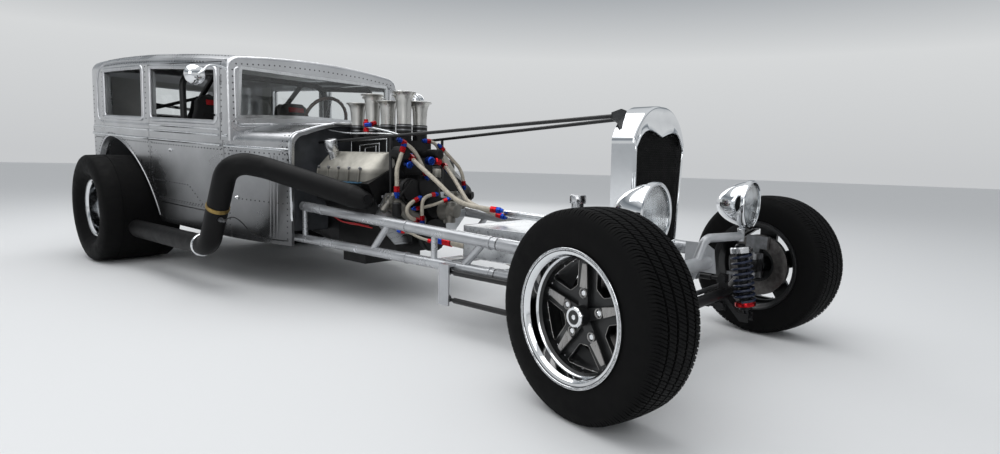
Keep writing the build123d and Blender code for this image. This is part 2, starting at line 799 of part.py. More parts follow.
# Four bars with threaded ends and round eyes.
links = None
for z in (upper_link_z, lower_link_z):
    bar = rod((link_x, link_front_y + 50, z), (link_x, link_rear_y - 50, z), link_radius)
    bar = bar + rod((link_x, link_front_y, z), (link_x, link_rear_y, z), 8)
    for y in (link_front_y, link_rear_y):
        bar = bar + rod((link_x - link_eye_half, y, z), (link_x + link_eye_half, y, z), link_eye_radius)
    links = bar if links is None else links + bar
four_bar_links = mirrored(links)

# Coilovers: a damper body, a ribbed spring sleeve, a top cap and a collar.
coil_axis = (Vector(coilover_x, coil_top_y, coilover_top_z), Vector(coilover_x, coil_bottom_y, coilover_bottom_z))


def coil_point(share):
    here = coil_axis[0] + (coil_axis[1] - coil_axis[0]) * share
    return (here.X, here.Y, here.Z)


def coilover_solid():
    solid = rod(coil_point(0.02), coil_point(0.90), 22)
    solid = solid + rod(coil_point(0.06), coil_point(0.13), 44)
    solid = solid + rod(coil_point(0.80), coil_point(0.86), 44)
    turns = 8
    for turn in range(turns):
        share = 0.155 + turn * (0.80 - 0.155) / turns
        solid = solid + rod(coil_point(share), coil_point(share + 0.034), spring_radius)
    solid = solid + rod(coil_point(0.90), coil_point(1), 11)
    end_x = (coilover_x - coil_eye_half, coilover_x + coil_eye_half)
    return solid + rod((end_x[0], coil_bottom_y, coilover_bottom_z), (end_x[1], coil_bottom_y, coilover_bottom_z), 12)


front_coilovers = mirrored(coilover_solid())

# Steering: knuckles on the kingpins, straight arms and the tie rod between them.
fork_gap = 0.4


def knuckle_solid(side):
    """Fork, kingpin, spindle, arm and caliper, made for a wheel that points straight ahead."""
    out = side
    solid = rod((0, 0, kingpin_z - 62), (0, 0, kingpin_z + 62), kingpin_radius)
    for low, high in ((kingpin_z + 30 + fork_gap, kingpin_z + 58), (kingpin_z - 58, kingpin_z - 30 - fork_gap)):
        solid = solid + rod((0, 0, low), (0, 0, high), 22)
        solid = solid + block(sorted((out * 2, out * 40)), (-20, 20), (low, high))
    solid = solid + block(sorted((out * 30, out * knuckle_face)), (-30, 30), (kingpin_z - 58, kingpin_z + 58))
    spindle_end = out * (kingpin_offset + spindle_reach - 1)
    solid = solid + rod((out * 36, 0, front_tyre_radius), (spindle_end, 0, front_tyre_radius), spindle_radius)
    solid = solid + block(sorted((-12 * out, 12 * out)), (8, arm_length), (kingpin_z - 58, kingpin_z - 44))
    solid = solid + rod((0, arm_length, tie_rod_z + 3 + seat_gap), (0, arm_length, kingpin_z - 44), 13)
    disc_x = kingpin_offset - front_disc_offset
    caliper = block(sorted((out * (disc_x - 34), out * (disc_x - disc_thickness / 2 - joint_gap))),
                    (-52, 52), (front_tyre_radius + 78, front_tyre_radius + 138))
    caliper = caliper + block(sorted((out * (disc_x - 34), out * (disc_x - disc_thickness / 2 - joint_gap))),
                              (-16, 16), (front_tyre_radius + 40, front_tyre_radius + 90))
    return solid + caliper


def knuckle_at(side):
    return Pos(side * pin_x, 0, 0) * Rotation(0, 0, steer_rest) * knuckle_solid(side)


knuckle_left = knuckle_at(1)
knuckle_right = knuckle_at(-1)
arm_x = -arm_length * sin(radians(steer_rest))
arm_y = arm_length * cos(radians(steer_rest))
tie_rod = rod((arm_x - pin_x, arm_y, tie_rod_z - 12), (arm_x + pin_x, arm_y, tie_rod_z - 12), tie_rod_radius)
tie_rod = tie_rod + rod((arm_x - pin_x, arm_y, tie_rod_z - 26), (arm_x - pin_x, arm_y, tie_rod_z + 3), 16)
tie_rod = tie_rod + rod((arm_x + pin_x, arm_y, tie_rod_z - 26), (arm_x + pin_x, arm_y, tie_rod_z + 3), 16)

# Rear axle: a centre housing with tapered tubes, carried by coilovers and ladder bars.
axle_z = rear_tyre_radius
rear_inner = rear_x + rear_face_x - 16
rear_axle = rod((seat_gap - rear_inner, wheelbase, axle_z), (rear_inner - seat_gap, wheelbase, axle_z), 36)
rear_axle = rear_axle + Pos(0, wheelbase, axle_z) * Sphere(118)
rear_axle = rear_axle + rod((0, wheelbase - 170, axle_z), (0, wheelbase, axle_z), 52)
ladder_eye = (250, kick_start_y + 26, lower_rail_z + 62)
ladder = mirrored(rod((250, wheelbase - 40, axle_z + 40), ladder_eye, 14)
                  + rod((250, wheelbase - 40, axle_z - 50), ladder_eye, 14)
                  + rod((234 + seat_gap, ladder_eye[1], ladder_eye[2]), (264, ladder_eye[1], ladder_eye[2]), 20)
                  + block((238, 262), (wheelbase - 60, wheelbase + 60), (axle_z - 70, axle_z + 60)))
rear_axle = rear_axle + ladder

# Drive line
bell = rod((0, engine_rear_y, crank_z), (0, 2350, crank_z), 172)
case = loft([Pos(0, 2350, crank_z) * Rotation(90, 0, 0) * Circle(140), Pos(0, 2800, crank_z) * Rotation(90, 0, 0) * Circle(74)])
tail = rod((0, 2800, crank_z), (0, 2990, crank_z), 58)
gearbox = bell + case + tail
driveshaft = rod((0, 2991, crank_z), (0, wheelbase - 171, axle_z), 36)

# Engine: one plain block with its heads, and the open pieces that dress it.
engine = block((-block_half, block_half), (engine_front_y, engine_rear_y), (290, deck_z))
head = front_face([
    (90, deck_z - 60),
    (head_half - 40, deck_z - 90),
    (cover_outer_x, cover_low_z - cover_seat),
    (cover_inner_x - 26, cover_low_z + 96 - cover_seat),
    (90, cover_low_z + 40),
], engine_front_y + 25)
head = along_y(head, engine_rear_y - engine_front_y - 40)
engine = engine + mirrored(head)
valley = block((-100, 100), (engine_front_y + 10, engine_rear_y - 10), (deck_z - 1, valley_top_z))
engine = engine + valley
plate_y = engine_front_y - seat_gap
plate_face = front_face([
    (-rail_x + upper_rail_radius + seat_gap, rail_z(plate_y) - 12),
    (-200, lower_rail_z + 20),
    (200, lower_rail_z + 20),
    (rail_x - upper_rail_radius - seat_gap, rail_z(plate_y) - 12),
    (rail_x - upper_rail_radius - seat_gap, rail_z(plate_y) + 8),
    (262, motor_plate_top),
    (-262, motor_plate_top),
    (-rail_x + upper_rail_radius + seat_gap, rail_z(plate_y) + 8),
], plate_y - motor_plate_thickness)
motor_plate = along_y(plate_face, motor_plate_thickness)

cover_front_y = engine_front_y + 40
cover_length = engine_rear_y - engine_front_y - 60
cover_face = front_face([
    (cover_outer_x, cover_low_z),
    (cover_outer_x - 10, cover_low_z + 70),
    (cover_outer_x - 108, cover_high_z - 4),
    (cover_inner_x - 4, cover_high_z),
    (cover_inner_x - 26, cover_low_z + 96),
], cover_front_y)
cover = along_y(cover_face, cover_length)
corner_cut = rod((cover_outer_x + 30, cover_front_y - 34, 560), (cover_outer_x + 30, cover_front_y - 34, 900), 84)
cover = cover - corner_cut
for y in range(5):
    rib_y = cover_front_y + 66 + y * 95
    rib = front_face([(cover_outer_x + 5, cover_low_z + 6), (cover_outer_x - 5, cover_low_z + 66),
                      (cover_outer_x - 30, cover_low_z + 66), (cover_outer_x - 8, cover_low_z + 6)], rib_y)
    cover = cover + along_y(rib, 9)
breather = rod((cover_outer_x - 78, engine_rear_y - 90, cover_high_z - 40),
               (cover_outer_x - 52, engine_rear_y - 96, cover_high_z + 62), 34)
valve_covers = mirrored(cover + breather)

# Injection manifold: a plenum on two rows of runners, with its pump and barrel valve in front.
runner_table = [(row, step) for row in (-1, 1) for step in range(4)]
stack_rear_y = stack_front_y + 3 * stack_pitch
manifold = block((-100, 100), (stack_front_y - 62, stack_rear_y + 14), (valley_top_z + seat_gap, 790))
manifold = manifold + block((-96, 96), (stack_front_y - 52, stack_rear_y + 6), (789, 872))
for row, step in runner_table:
    y = stack_front_y + step * stack_pitch
    y = min(y, stack_rear_y)
    manifold = manifold + rod((row * stack_row_x, y, 870), (row * stack_row_x, y, manifold_top_z), 41)
manifold = manifold & block((-400, 400), (0, firewall_y - 12), (0, 2000))

stacks = None
for row, step in runner_table:
    tall = (step % 2 == 0) if row < 0 else (step % 2 == 1)
    top = tall_stack_z if tall else short_stack_z
    base = manifold_top_z
    profile = make_face(Polyline(
        (stack_bore, 0, 0),
        (stack_bore + 2.5, 0, 0),
        (stack_radius, 0, top - base - 40),
        (stack_flare_radius - 4, 0, top - base - 7),
        (stack_flare_radius, 0, top - base),
        (stack_flare_radius - 5, 0, top - base),
        (stack_radius - 2.5, 0, top - base - 38),
        (stack_bore, 0, stack_bore_length),
        close=True,
    ))
    stack = Pos(row * stack_row_x, stack_front_y + step * stack_pitch, base) * revolve(profile, Axis.Z)
    stacks = stack if stacks is None else stacks + stack

# Front drive: cover, crank pulley, pump housing and alternator on the engine's nose.
drive_y = plate_y - motor_plate_thickness
front_drive = block((-120, 120), (drive_y - 40, drive_y - 0.3), (320, 560))
front_drive = front_drive + rod((0, drive_y - 92, crank_z), (0, drive_y - 40, crank_z), 88)
front_drive = front_drive + rod((0, drive_y - 92, 520), (0, drive_y - 40, 520), 62)
front_drive = front_drive + rod((-168, drive_y - 96, 610), (-168, drive_y - 10, 610), 58)
front_drive = front_drive + block((-175, -90), (drive_y - 30, drive_y - 0.3), (520, 600))
front_drive = front_drive + rod((0, drive_y - 70, 560), (0, drive_y - 40, 700), 46)

oil_pan = block((-170, 170), (engine_front_y + 20, engine_rear_y - 20), (262, 291))
oil_pan = oil_pan + block((-205, 205), (1850, 2060), (178, 270))

# Exhausts: stubs gather into one big pipe that climbs out, drops and runs back along the sill.
exhaust_route = [
    (402, 1690, 575),
    (640, 2120, 706),
    (exhaust_x - 7, 2215, 742),
    (exhaust_x, 2470, exhaust_side_z),
    (exhaust_x, exhaust_tip_y, exhaust_side_z),
]
pipe = tube(exhaust_route, exhaust_radius, 118, exhaust_radius - exhaust_wall)
log_x = 352
log_z = 557
pipe = pipe + rod((log_x, 1650, log_z), (log_x, 2060, log_z), 24)
for y in (1690, 1800, 1910, 2020):
    pipe = pipe + rod((head_half - 10, y, log_z + 2), (log_x, y, log_z), 22)
log_start = Plane(origin=(log_x, 1650, log_z), z_dir=(1, 1.2, 0.35))
pipe_start = Plane(origin=exhaust_route[0], z_dir=(238, 430, 131))
pipe = pipe + loft([log_start * Circle(25), pipe_start * Circle(exhaust_radius)])
slash = side_face([(exhaust_tip_y + 20, exhaust_side_z - 100), (exhaust_tip_y + 20, exhaust_side_z + 100),
                   (exhaust_tip_y - 70, exhaust_side_z - 100)], 600)
pipe = pipe - extrude(slash, amount=400, dir=(1, 0, 0))
pipe = pipe - engine

# Radiator shell: pointed crown, rounded shoulders and a heart-shaped opening.
def shell_outline(y, inset):
    half = shell_half - inset
    base_half = shell_base_half - inset
    peak = shell_peak_z - inset * 1.15
    shoulder = shell_shoulder_z
    right = Line((base_half, y, shell_base_z), (half, y, shoulder))
    cheek_z = shoulder + 0.64 * (peak - shoulder)
    right_arc = ThreePointArc((half, y, shoulder), (half * 0.78, y, cheek_z), (0, y, peak))
    left_arc = ThreePointArc((0, y, peak), (-half * 0.78, y, cheek_z), (-half, y, shoulder))
    left = Line((-half, y, shoulder), (-base_half, y, shell_base_z))
    base = Line((-base_half, y, shell_base_z), (base_half, y, shell_base_z))
    return make_face([right, right_arc, left_arc, left, base])


def grille_opening(y, inset):
    half = shell_half - shell_face - inset
    base_half = shell_base_half - shell_face - inset
    lobe_z = shell_lobe_z - inset
    dip_z = shell_dip_z - inset
    side_z = shell_opening_z - inset
    low = shell_base_z + 22 + inset
    right = Line((base_half, y, low), (half, y, side_z))
    right_lobe = ThreePointArc((half, y, side_z), (half * 0.58, y, lobe_z), (0, y, dip_z))
    left_lobe = ThreePointArc((0, y, dip_z), (-half * 0.58, y, lobe_z), (-half, y, side_z))
    left = Line((-half, y, side_z), (-base_half, y, low))
    base = Line((-base_half, y, low), (base_half, y, low))
    return make_face([right, right_lobe, left_lobe, left, base])


radiator_shell = along_y(shell_outline(shell_front_y, 0), shell_depth)
hollow = along_y(shell_outline(shell_front_y + shell_skin, shell_skin), shell_depth)
hollow = hollow + block((-shell_base_half + 10, shell_base_half - 10),
                        (shell_front_y + shell_skin, shell_front_y + shell_depth + 50), (400, 500))
radiator_shell = radiator_shell - hollow - along_y(grille_opening(shell_front_y - 10, 0), 100)
core_y = shell_front_y + 30
radiator_core = along_y(grille_opening(core_y, shell_skin + 1.5 - shell_face), 56)
radiator_core = radiator_core + mirrored(block((60, 90), (core_y + 4, core_y + 50), (shell_base_z + 2, shell_base_z + 40)))

# Tank between the rails and the small filler tank behind the radiator.
fuel_tank = block((-tank_half, tank_half), (tank_front_y, tank_rear_y), (tank_bottom_z, tank_top_z))
fuel_tank = fillet(fuel_tank.edges().filter_by(Axis.Z), 22)
rail_top_z = lower_rail_z + lower_rail_radius
for y in (640, 990):
    fuel_tank = fuel_tank + block((-rail_x - 8, rail_x + 8), (y, y + 40), (rail_top_z + seat_gap, rail_top_z + 5))
filler_tank = rod((-210, filler_y, 520), (30, filler_y, 520), 62)
filler_tank = filler_tank + rod((filler_x, filler_y, 560), (filler_x, filler_y, 606), 26)
filler_tank = filler_tank + rod((filler_x, filler_y, 606), (filler_x, filler_y, 640), 33)
filler_tank = filler_tank + block((-130, -50), (filler_y - 20, filler_y + 20),
                                  (rail_z(filler_y) + cross_tube_radius + seat_gap, 470))

# Struts from the firewall to the radiator shell, with their posts.
strut_z0 = 850
strut_z1 = 956
strut_radius = 8
shell_back_y = shell_front_y + shell_depth
post_y = plate_y - motor_plate_thickness / 2
behind_firewall = raked(block((-900, 900), (firewall_y - seat_gap, firewall_y + 200), (300, 1300)))
bracket_face = front_face([
    (-60, 930),
    (-60, 976),
    (-150, 986),
    (-216, 968),
    (-216, 944),
    (-150, 924),
], shell_back_y + seat_gap)
cowl_struts = along_y(bracket_face, 6)
# Columns: where each strut stands on the firewall and where it meets the bracket, across the car.
for foot_x, head_x in ((-250, -195), (250, -78)):
    foot = (foot_x, firewall_y + 20, strut_z0)
    head = (head_x, shell_back_y + seat_gap + 3, strut_z1)
    share = (foot[1] - post_y) / (foot[1] - head[1])
    post_x = foot_x + share * (head_x - foot_x)
    post_z = strut_z0 + share * (strut_z1 - strut_z0)
    cowl_struts = cowl_struts + (rod(foot, head, strut_radius) - behind_firewall)
    cowl_struts = cowl_struts + rod((post_x, post_y, motor_plate_top + seat_gap), (post_x, post_y, post_z), strut_radius)

# Cabin: seats, cage, dash, column and steering wheel.
half_seat = seat_width / 2
seat_side = side_face([
    (seat_front_y, seat_base_z),
    (seat_rear_y - 60, seat_base_z),
    (seat_rear_y + 20, cushion_top_z),
    (seat_rear_y + 150, seat_top_z - 40),
    (seat_rear_y + 110, seat_top_z),
    (seat_rear_y + 30, seat_top_z - 10),
    (seat_rear_y - 90, cushion_top_z + 30),
    (seat_front_y + 30, cushion_top_z),
    (seat_front_y, cushion_top_z - 40),
])
seat = Pos(seat_x, 0, 0) * along_x(seat_side, half_seat)
seats = mirrored(seat)

hoop_y = 3370
main_hoop = tube([
    (-cage_x, hoop_y, floor_top + 0.3),
    (-cage_x, hoop_y, cage_top_z),
    (cage_x, hoop_y, cage_top_z),
    (cage_x, hoop_y, floor_top + 0.3),
], cage_radius, 120)
side_bar_route = [
    (cage_x - 40, hoop_y, cage_top_z - 20),
    (cage_x - 55, 2720, 1250),
    (cage_x - 40, 2695, floor_top + 0.3),
]
side_bar = tube(side_bar_route, cage_radius - 3, 60)
brace = rod((330, hoop_y, cage_top_z - 8), (330, 4500, raised_floor_z + floor_thickness + 0.3), cage_radius - 3)
roll_cage = main_hoop + mirrored(side_bar + brace) - block((-900, 900), (2300, 5000), (0, floor_top + seat_gap))
roll_cage = roll_cage - block((-900, 900), (step_y + 20, 5200), (0, raised_floor_z + floor_thickness + seat_gap))

dashboard = raked(block((-900, 900), (2672, door_front_y - 6), (800, 925)) & lower_tub(wall + seat_gap, 700, 1000))
tilt = radians(column_tilt)
wheel_centre_point = Vector(column_x, steering_wheel_y, steering_wheel_z)
column_dir = Vector(0, -cos(tilt), -sin(tilt))
column_end = wheel_centre_point + column_dir * 800
column_start = wheel_centre_point + column_dir * 30
steering_column = rod(tuple(column_start), tuple(column_end), 20)
ahead_of_firewall = raked(block((-900, 900), (1000, firewall_y + firewall_thickness + seat_gap), (300, 1300)))
steering_column = steering_column - ahead_of_firewall
dashboard = dashboard - rod(tuple(column_start), tuple(column_end), 20 + seat_gap)
ring_plane = Plane(origin=wheel_centre_point, x_dir=(1, 0, 0), z_dir=column_dir)
ring = ring_plane * Torus(wheel_ring_radius - wheel_ring_tube, wheel_ring_tube)
steering_wheel = ring + ring_plane * (Pos(0, 0, 14) * Cylinder(34, 28))
for angle in (-90, 30, 150):
    spoke_bar = Pos((wheel_ring_radius - wheel_ring_tube) / 2, 0, 8) * Box(wheel_ring_radius - wheel_ring_tube, 30, 5)
    steering_wheel = steering_wheel + ring_plane * (Rotation(0, 0, angle) * spoke_bar)

# Mirrors, tail lamps
mirror_point = (800, 2557, 1196)
mirror_head = Pos(*mirror_point) * Rotation(90, 0, 0) * Cylinder(56, 22)
mirror_arm = tube([(580, 2600, 1236), (690, 2580, 1264), (mirror_point[0] - 8, 2552, mirror_point[2] + 30)], 6, 60)
mirrors = mirrored((mirror_head + mirror_arm) - raked(Pos(seat_gap, 0, 0) * outer_body))

parts = {
    "frame_rails": frame_rails,
    "front_crossmember": front_crossmember,
    "body_shell": shell,
    "firewall": firewall,
    "floor_pan": floor_pan + wheel_tubs,
    "windscreen_frame": windscreen_frame,
    "window_glass": windscreen_glass + rear_glass,
    "door_left": door_left,
    "door_right": door_right,
    "engine_block": engine + oil_pan,
    "motor_plate": motor_plate,
    "valve_covers": valve_covers,
    "injection_manifold": manifold,
    "velocity_stacks": stacks,
    "front_drive": front_drive,
    "exhausts": mirrored(pipe),
    "drive_line": gearbox + driveshaft,
    "rear_axle": rear_axle,
    "radiator_shell": radiator_shell,
    "radiator_core": radiator_core,
    "fuel_tanks": fuel_tank + filler_tank,
    "cowl_struts": cowl_struts,
    "front_axle": front_axle,
    "four_bar_links": four_bar_links,
    "front_coilovers": front_coilovers,
    "headlamp_shells": headlamp_shells,
    "headlamp_lenses": headlamp_lenses,
    "knuckle_left": knuckle_left,
    "knuckle_right": knuckle_right,
    "tie_rod": tie_rod,
    "seats": seats,
    "roll_cage": roll_cage,
    "dashboard": dashboard,
    "steering_wheel": steering_wheel + steering_column,
    "mirrors": mirrors,
}
parts.update(wheels)
for name, shape in parts.items():
    export(name, shape)
print("middle station", round(middle_y, 3))
print("kingpin x", round(pin_x, 3), "arm", round(arm_x, 3), round(arm_y, 3))
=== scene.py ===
import json
from math import atan2, cos, pi, radians, sin, sqrt

import bmesh
import bpy
from mathutils import Matrix, Vector
from mathutils.bvhtree import BVHTree

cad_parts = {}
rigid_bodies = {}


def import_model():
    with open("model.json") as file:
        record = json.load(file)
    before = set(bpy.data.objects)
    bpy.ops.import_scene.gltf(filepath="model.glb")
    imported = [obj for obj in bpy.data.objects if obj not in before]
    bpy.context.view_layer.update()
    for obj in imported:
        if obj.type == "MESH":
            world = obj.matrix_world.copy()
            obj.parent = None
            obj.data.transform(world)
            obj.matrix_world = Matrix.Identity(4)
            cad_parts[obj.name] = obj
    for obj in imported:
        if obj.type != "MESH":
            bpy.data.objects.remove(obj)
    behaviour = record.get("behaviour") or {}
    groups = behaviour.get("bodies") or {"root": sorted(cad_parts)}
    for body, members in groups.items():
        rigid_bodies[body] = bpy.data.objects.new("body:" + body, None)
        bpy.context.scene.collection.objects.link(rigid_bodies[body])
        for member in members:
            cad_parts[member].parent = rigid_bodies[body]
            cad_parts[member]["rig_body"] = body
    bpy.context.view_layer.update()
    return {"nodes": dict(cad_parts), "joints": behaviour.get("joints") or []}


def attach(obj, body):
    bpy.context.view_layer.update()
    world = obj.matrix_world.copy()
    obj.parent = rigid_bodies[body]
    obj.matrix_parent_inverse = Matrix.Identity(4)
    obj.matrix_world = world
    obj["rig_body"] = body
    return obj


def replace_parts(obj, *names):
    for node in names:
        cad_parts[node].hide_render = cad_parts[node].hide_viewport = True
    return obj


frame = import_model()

# Studio: the car stands on a pale floor under a soft overcast sky, seen from low beside its nose.
# The floor, the sky and the lamps are no part of the car.
pivots = {joint["name"]: joint for joint in frame["joints"]}
axle_y = pivots["steer_right"]["pos_m"][1]


def place(x, y, z):
    """A point in metres across the car, back from the front axle line and up from the ground."""
    return Vector((x, y + axle_y, z))


camera_yaw = 0.8578
camera_pitch = 0.1457
camera_roll = 0.0269
forward = Vector((cos(camera_pitch) * sin(camera_yaw), cos(camera_pitch) * cos(camera_yaw),
                  -sin(camera_pitch)))
level = Vector((cos(camera_yaw), -sin(camera_yaw), 0))
rising = level.cross(forward)
camera_right = level * cos(camera_roll) + rising * sin(camera_roll)
camera_up = rising * cos(camera_roll) - level * sin(camera_roll)
lens = bpy.data.cameras.new("camera")
lens.sensor_width = 36
lens.lens = 21.74
lens.shift_y = 0.02306
camera = bpy.data.objects.new("camera", lens)
bpy.context.scene.collection.objects.link(camera)
camera_axes = Matrix((camera_right, camera_up, -forward)).transposed().to_4x4()
camera.matrix_world = Matrix.Translation(place(-2.2561, -0.9279, 0.7724)) @ camera_axes
bpy.context.scene.camera = camera
bpy.context.scene.view_settings.view_transform = "Standard"


def linear(colour):
    """A colour written as sRGB hex, as the linear values that nodes take."""
    channels = [int(colour[start:start + 2], 16) / 255 for start in (1, 3, 5)]
    return (*[c / 12.92 if c <= 0.04045 else ((c + 0.055) / 1.055) ** 2.4 for c in channels], 1)


def add(tree, kind, inputs=None, **settings):
    """Adds one node. inputs gives a socket its value, or another node's output to link."""
    made = tree.nodes.new(kind)
    for name, value in settings.items():
        setattr(made, name, value)
    for socket, value in (inputs or {}).items():
        if isinstance(value, bpy.types.NodeSocket):
            tree.links.new(value, made.inputs[socket])
        else:
            made.inputs[socket].default_value = value
    return made


sky = bpy.data.worlds.new("overcast_sky")
bpy.context.scene.world = sky
sky.use_nodes = True
tree = sky.node_tree
direction = add(tree, "ShaderNodeTexCoord").outputs["Generated"]
height = add(tree, "ShaderNodeSeparateXYZ", {0: direction}).outputs["Z"]
shade = add(tree, "ShaderNodeValToRGB", {0: height})
stops = shade.color_ramp.elements
stops[0].position = 0.0
stops[0].color = linear("#dcdee0")
stops[1].position = 1.0
stops[1].color = linear("#f6f8fa")
for position, colour in ((0.16, "#eceeef"), (0.26, "#b4b9be"), (0.40, "#7f868c"), (0.58, "#e3e6e9")):
    stops.new(position).color = linear(colour)
tree.nodes["Background"].inputs["Strength"].default_value = 0.8
tree.links.new(shade.outputs[0], tree.nodes["Background"].inputs["Color"])

floor_radius = 40
floor_mesh = bpy.data.meshes.new("studio_floor")
form = bmesh.new()
bmesh.ops.create_circle(form, cap_ends=True, segments=64, radius=floor_radius)
form.to_mesh(floor_mesh)
form.free()
studio_floor = bpy.data.objects.new("studio_floor", floor_mesh)
bpy.context.scene.collection.objects.link(studio_floor)
pale_floor = bpy.data.materials.new("pale_floor")
pale_floor.use_nodes = True
shader = pale_floor.node_tree.nodes["Principled BSDF"]
shader.inputs["Base Color"].default_value = linear("#d9dadb")
shader.inputs["Roughness"].default_value = 0.85
floor_mesh.materials.append(pale_floor)

# Columns: position, the point it faces, width and height of the lamp, and its power in watts.
softboxes = (
    ((-1.0, 0.5, 5.5), (0, 0, 0.5), 8, 6, 240),
    ((-5.5, -4.0, 3.0), (0, -0.8, 0.6), 4, 3, 75),
    ((5.0, 4.5, 3.6), (0, 0.5, 0.6), 4, 3, 90),
)
for number, (spot, target, width, depth, power) in enumerate(softboxes):
    lamp = bpy.data.lights.new(f"softbox_{number}", "AREA")
    lamp.shape = "RECTANGLE"
    lamp.size = width
    lamp.size_y = depth
    lamp.energy = power
    softbox = bpy.data.objects.new(f"softbox_{number}", lamp)
    softbox.location = spot
    softbox.rotation_euler = (Vector(target) - Vector(spot)).to_track_quat("-Z", "Y").to_euler()
    bpy.context.scene.collection.objects.link(softbox)


# Tube frame: two welded steel tubes a side with diagonals and cross tubes, the base that everything else
# bolts to. Its silver-grey powder coat gives soft, slightly milky highlights along each tube.
def new_finish(name, colour, roughness, metallic=0.0):
    """A material, its tree and shader, and object coordinates in millimetres for its patterns."""
    material = bpy.data.materials.new(name)
    material.use_nodes = True
    tree = material.node_tree
    shader = tree.nodes["Principled BSDF"]
    shader.inputs["Base Color"].default_value = linear(colour)
    shader.inputs["Roughness"].default_value = roughness
    shader.inputs["Metallic"].default_value = metallic
    coords = add(tree, "ShaderNodeTexCoord").outputs["Object"]
    mm = add(tree, "ShaderNodeVectorMath", {0: coords, 1: (1000, 1000, 1000)},
             operation="MULTIPLY").outputs[0]
    return material, tree, shader, mm


def patchy(tree, shader, mm, size, colours, roughness, stretch=(1, 1, 1)):
    """Colour and roughness that drift between two values over patches of a size in millimetres."""
    spread = add(tree, "ShaderNodeVectorMath", {0: mm, 1: [s / size for s in stretch]}, operation="MULTIPLY")
    cloud = add(tree, "ShaderNodeTexNoise",
                {"Vector": spread.outputs[0], "Scale": 1.0, "Detail": 5.0, "Roughness": 0.6})
    tint = add(tree, "ShaderNodeValToRGB", {0: cloud.outputs["Fac"]})
    tint.color_ramp.elements[0].position = 0.32
    tint.color_ramp.elements[1].position = 0.68
    tint.color_ramp.elements[0].color = linear(colours[0])
    tint.color_ramp.elements[1].color = linear(colours[1])
    gloss = add(tree, "ShaderNodeMapRange",
                {0: cloud.outputs["Fac"], 1: 0.3, 2: 0.7, 3: roughness[0], 4: roughness[1]})
    tree.links.new(tint.outputs[0], shader.inputs["Base Color"])
    tree.links.new(gloss.outputs[0], shader.inputs["Roughness"])


def crease(form, angle):
    """Smooth faces with sharp edges where the surface turns by more than an angle in degrees."""
    for face in form.faces:
        face.smooth = True
    for edge in form.edges:
        edge.smooth = len(edge.link_faces) != 2 or edge.calc_face_angle(0) < radians(angle)


def piece(name, form, finish, body, angle=32, mend=True):
    """Turns a finished bmesh into a named piece with its material, riding on its body."""
    if mend:
        bmesh.ops.remove_doubles(form, verts=form.verts, dist=1e-6)
        bmesh.ops.recalc_face_normals(form, faces=form.faces)
    crease(form, angle)
    mesh = bpy.data.meshes.new(name)
    form.to_mesh(mesh)
    form.free()
    mesh.materials.append(finish)
    made = bpy.data.objects.new(name, mesh)
    bpy.context.scene.collection.objects.link(made)
    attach(made, body)
    return made


def dress(node, finish, angle=32):
    """A smooth copy of a CAD node in its finish, which stands for the node."""
    form = bmesh.new()
    form.from_mesh(frame["nodes"][node].data)
    bmesh.ops.remove_doubles(form, verts=form.verts, dist=2e-6)
    made = piece(node + "_surface", form, finish, frame["nodes"][node]["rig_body"], angle, mend=False)
    even = made.modifiers.new("even_shading", "WEIGHTED_NORMAL")
    even.keep_sharp = True
    even.weight = 90
    made.data = bpy.data.meshes.new_from_object(made.evaluated_get(bpy.context.evaluated_depsgraph_get()))
    made.modifiers.clear()
    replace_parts(made, node)
    return made


frame_coat, tree, shader, mm = new_finish("silver_powder_coat", "#b4b6b9", 0.3)
patchy(tree, shader, mm, 180, ("#aaacaf", "#c0c2c5"), (0.2, 0.3))
shader.inputs["Metallic"].default_value = 0.6
dress("frame_rails", frame_coat)

# Nose: a cross tube with lightened end plates, and two hoops that carry the coilovers and the lamps, all
# welded. Its silver paint is brighter and flatter than the rails' coat.
nose_coat, tree, shader, mm = new_finish("bright_silver_paint", "#b4b6b9", 0.35, 0.4)
patchy(tree, shader, mm, 120, ("#a9abae", "#bfc1c4"), (0.28, 0.4))
dress("front_crossmember", nose_coat)

# Front axle, four bars and rear axle: welded steel in satin black chassis paint, which shows a faint orange
# peel and duller patches. The knuckles and the tie rod are machined steel, bolted on at their pins.
def pitted(tree, shader, mm, size, height, stretch=(1, 1, 1)):
    """A fine uneven surface: bumps of a size and a height in millimetres."""
    spread = add(tree, "ShaderNodeVectorMath", {0: mm, 1: [s / size for s in stretch]}, operation="MULTIPLY")
    grit = add(tree, "ShaderNodeTexNoise", {"Vector": spread.outputs[0], "Scale": 1.0, "Detail": 3.0})
    bump = add(tree, "ShaderNodeBump",
               {"Height": grit.outputs["Fac"], "Distance": height / 1000, "Strength": 1.0})
    tree.links.new(bump.outputs[0], shader.inputs["Normal"])


black_coat, tree, shader, mm = new_finish("satin_black_chassis_paint", "#08090a", 0.42)
patchy(tree, shader, mm, 90, ("#070708", "#121214"), (0.32, 0.55))
pitted(tree, shader, mm, 1.2, 0.05)
for node in ("front_axle", "four_bar_links", "rear_axle", "drive_line", "cowl_struts"):
    dress(node, black_coat)
plain_steel, tree, shader, mm = new_finish("plain_machined_steel", "#8a8b8d", 0.38, 1.0)
patchy(tree, shader, mm, 30, ("#77787a", "#9b9c9e"), (0.3, 0.5))
for node in ("knuckle_left", "knuckle_right", "tie_rod"):
    dress(node, plain_steel)

# Rail sleeves: thicker tubes slipped over the front ends of the rails and welded, in the rails' own coat. A
# thin dark ring marks the gap where each one ends.
def rail_point(side, y):
    """A point on the axis of an upper rail."""
    return place(side * 0.36, y, 0.429 + (y - 0.75) * 0.0391)


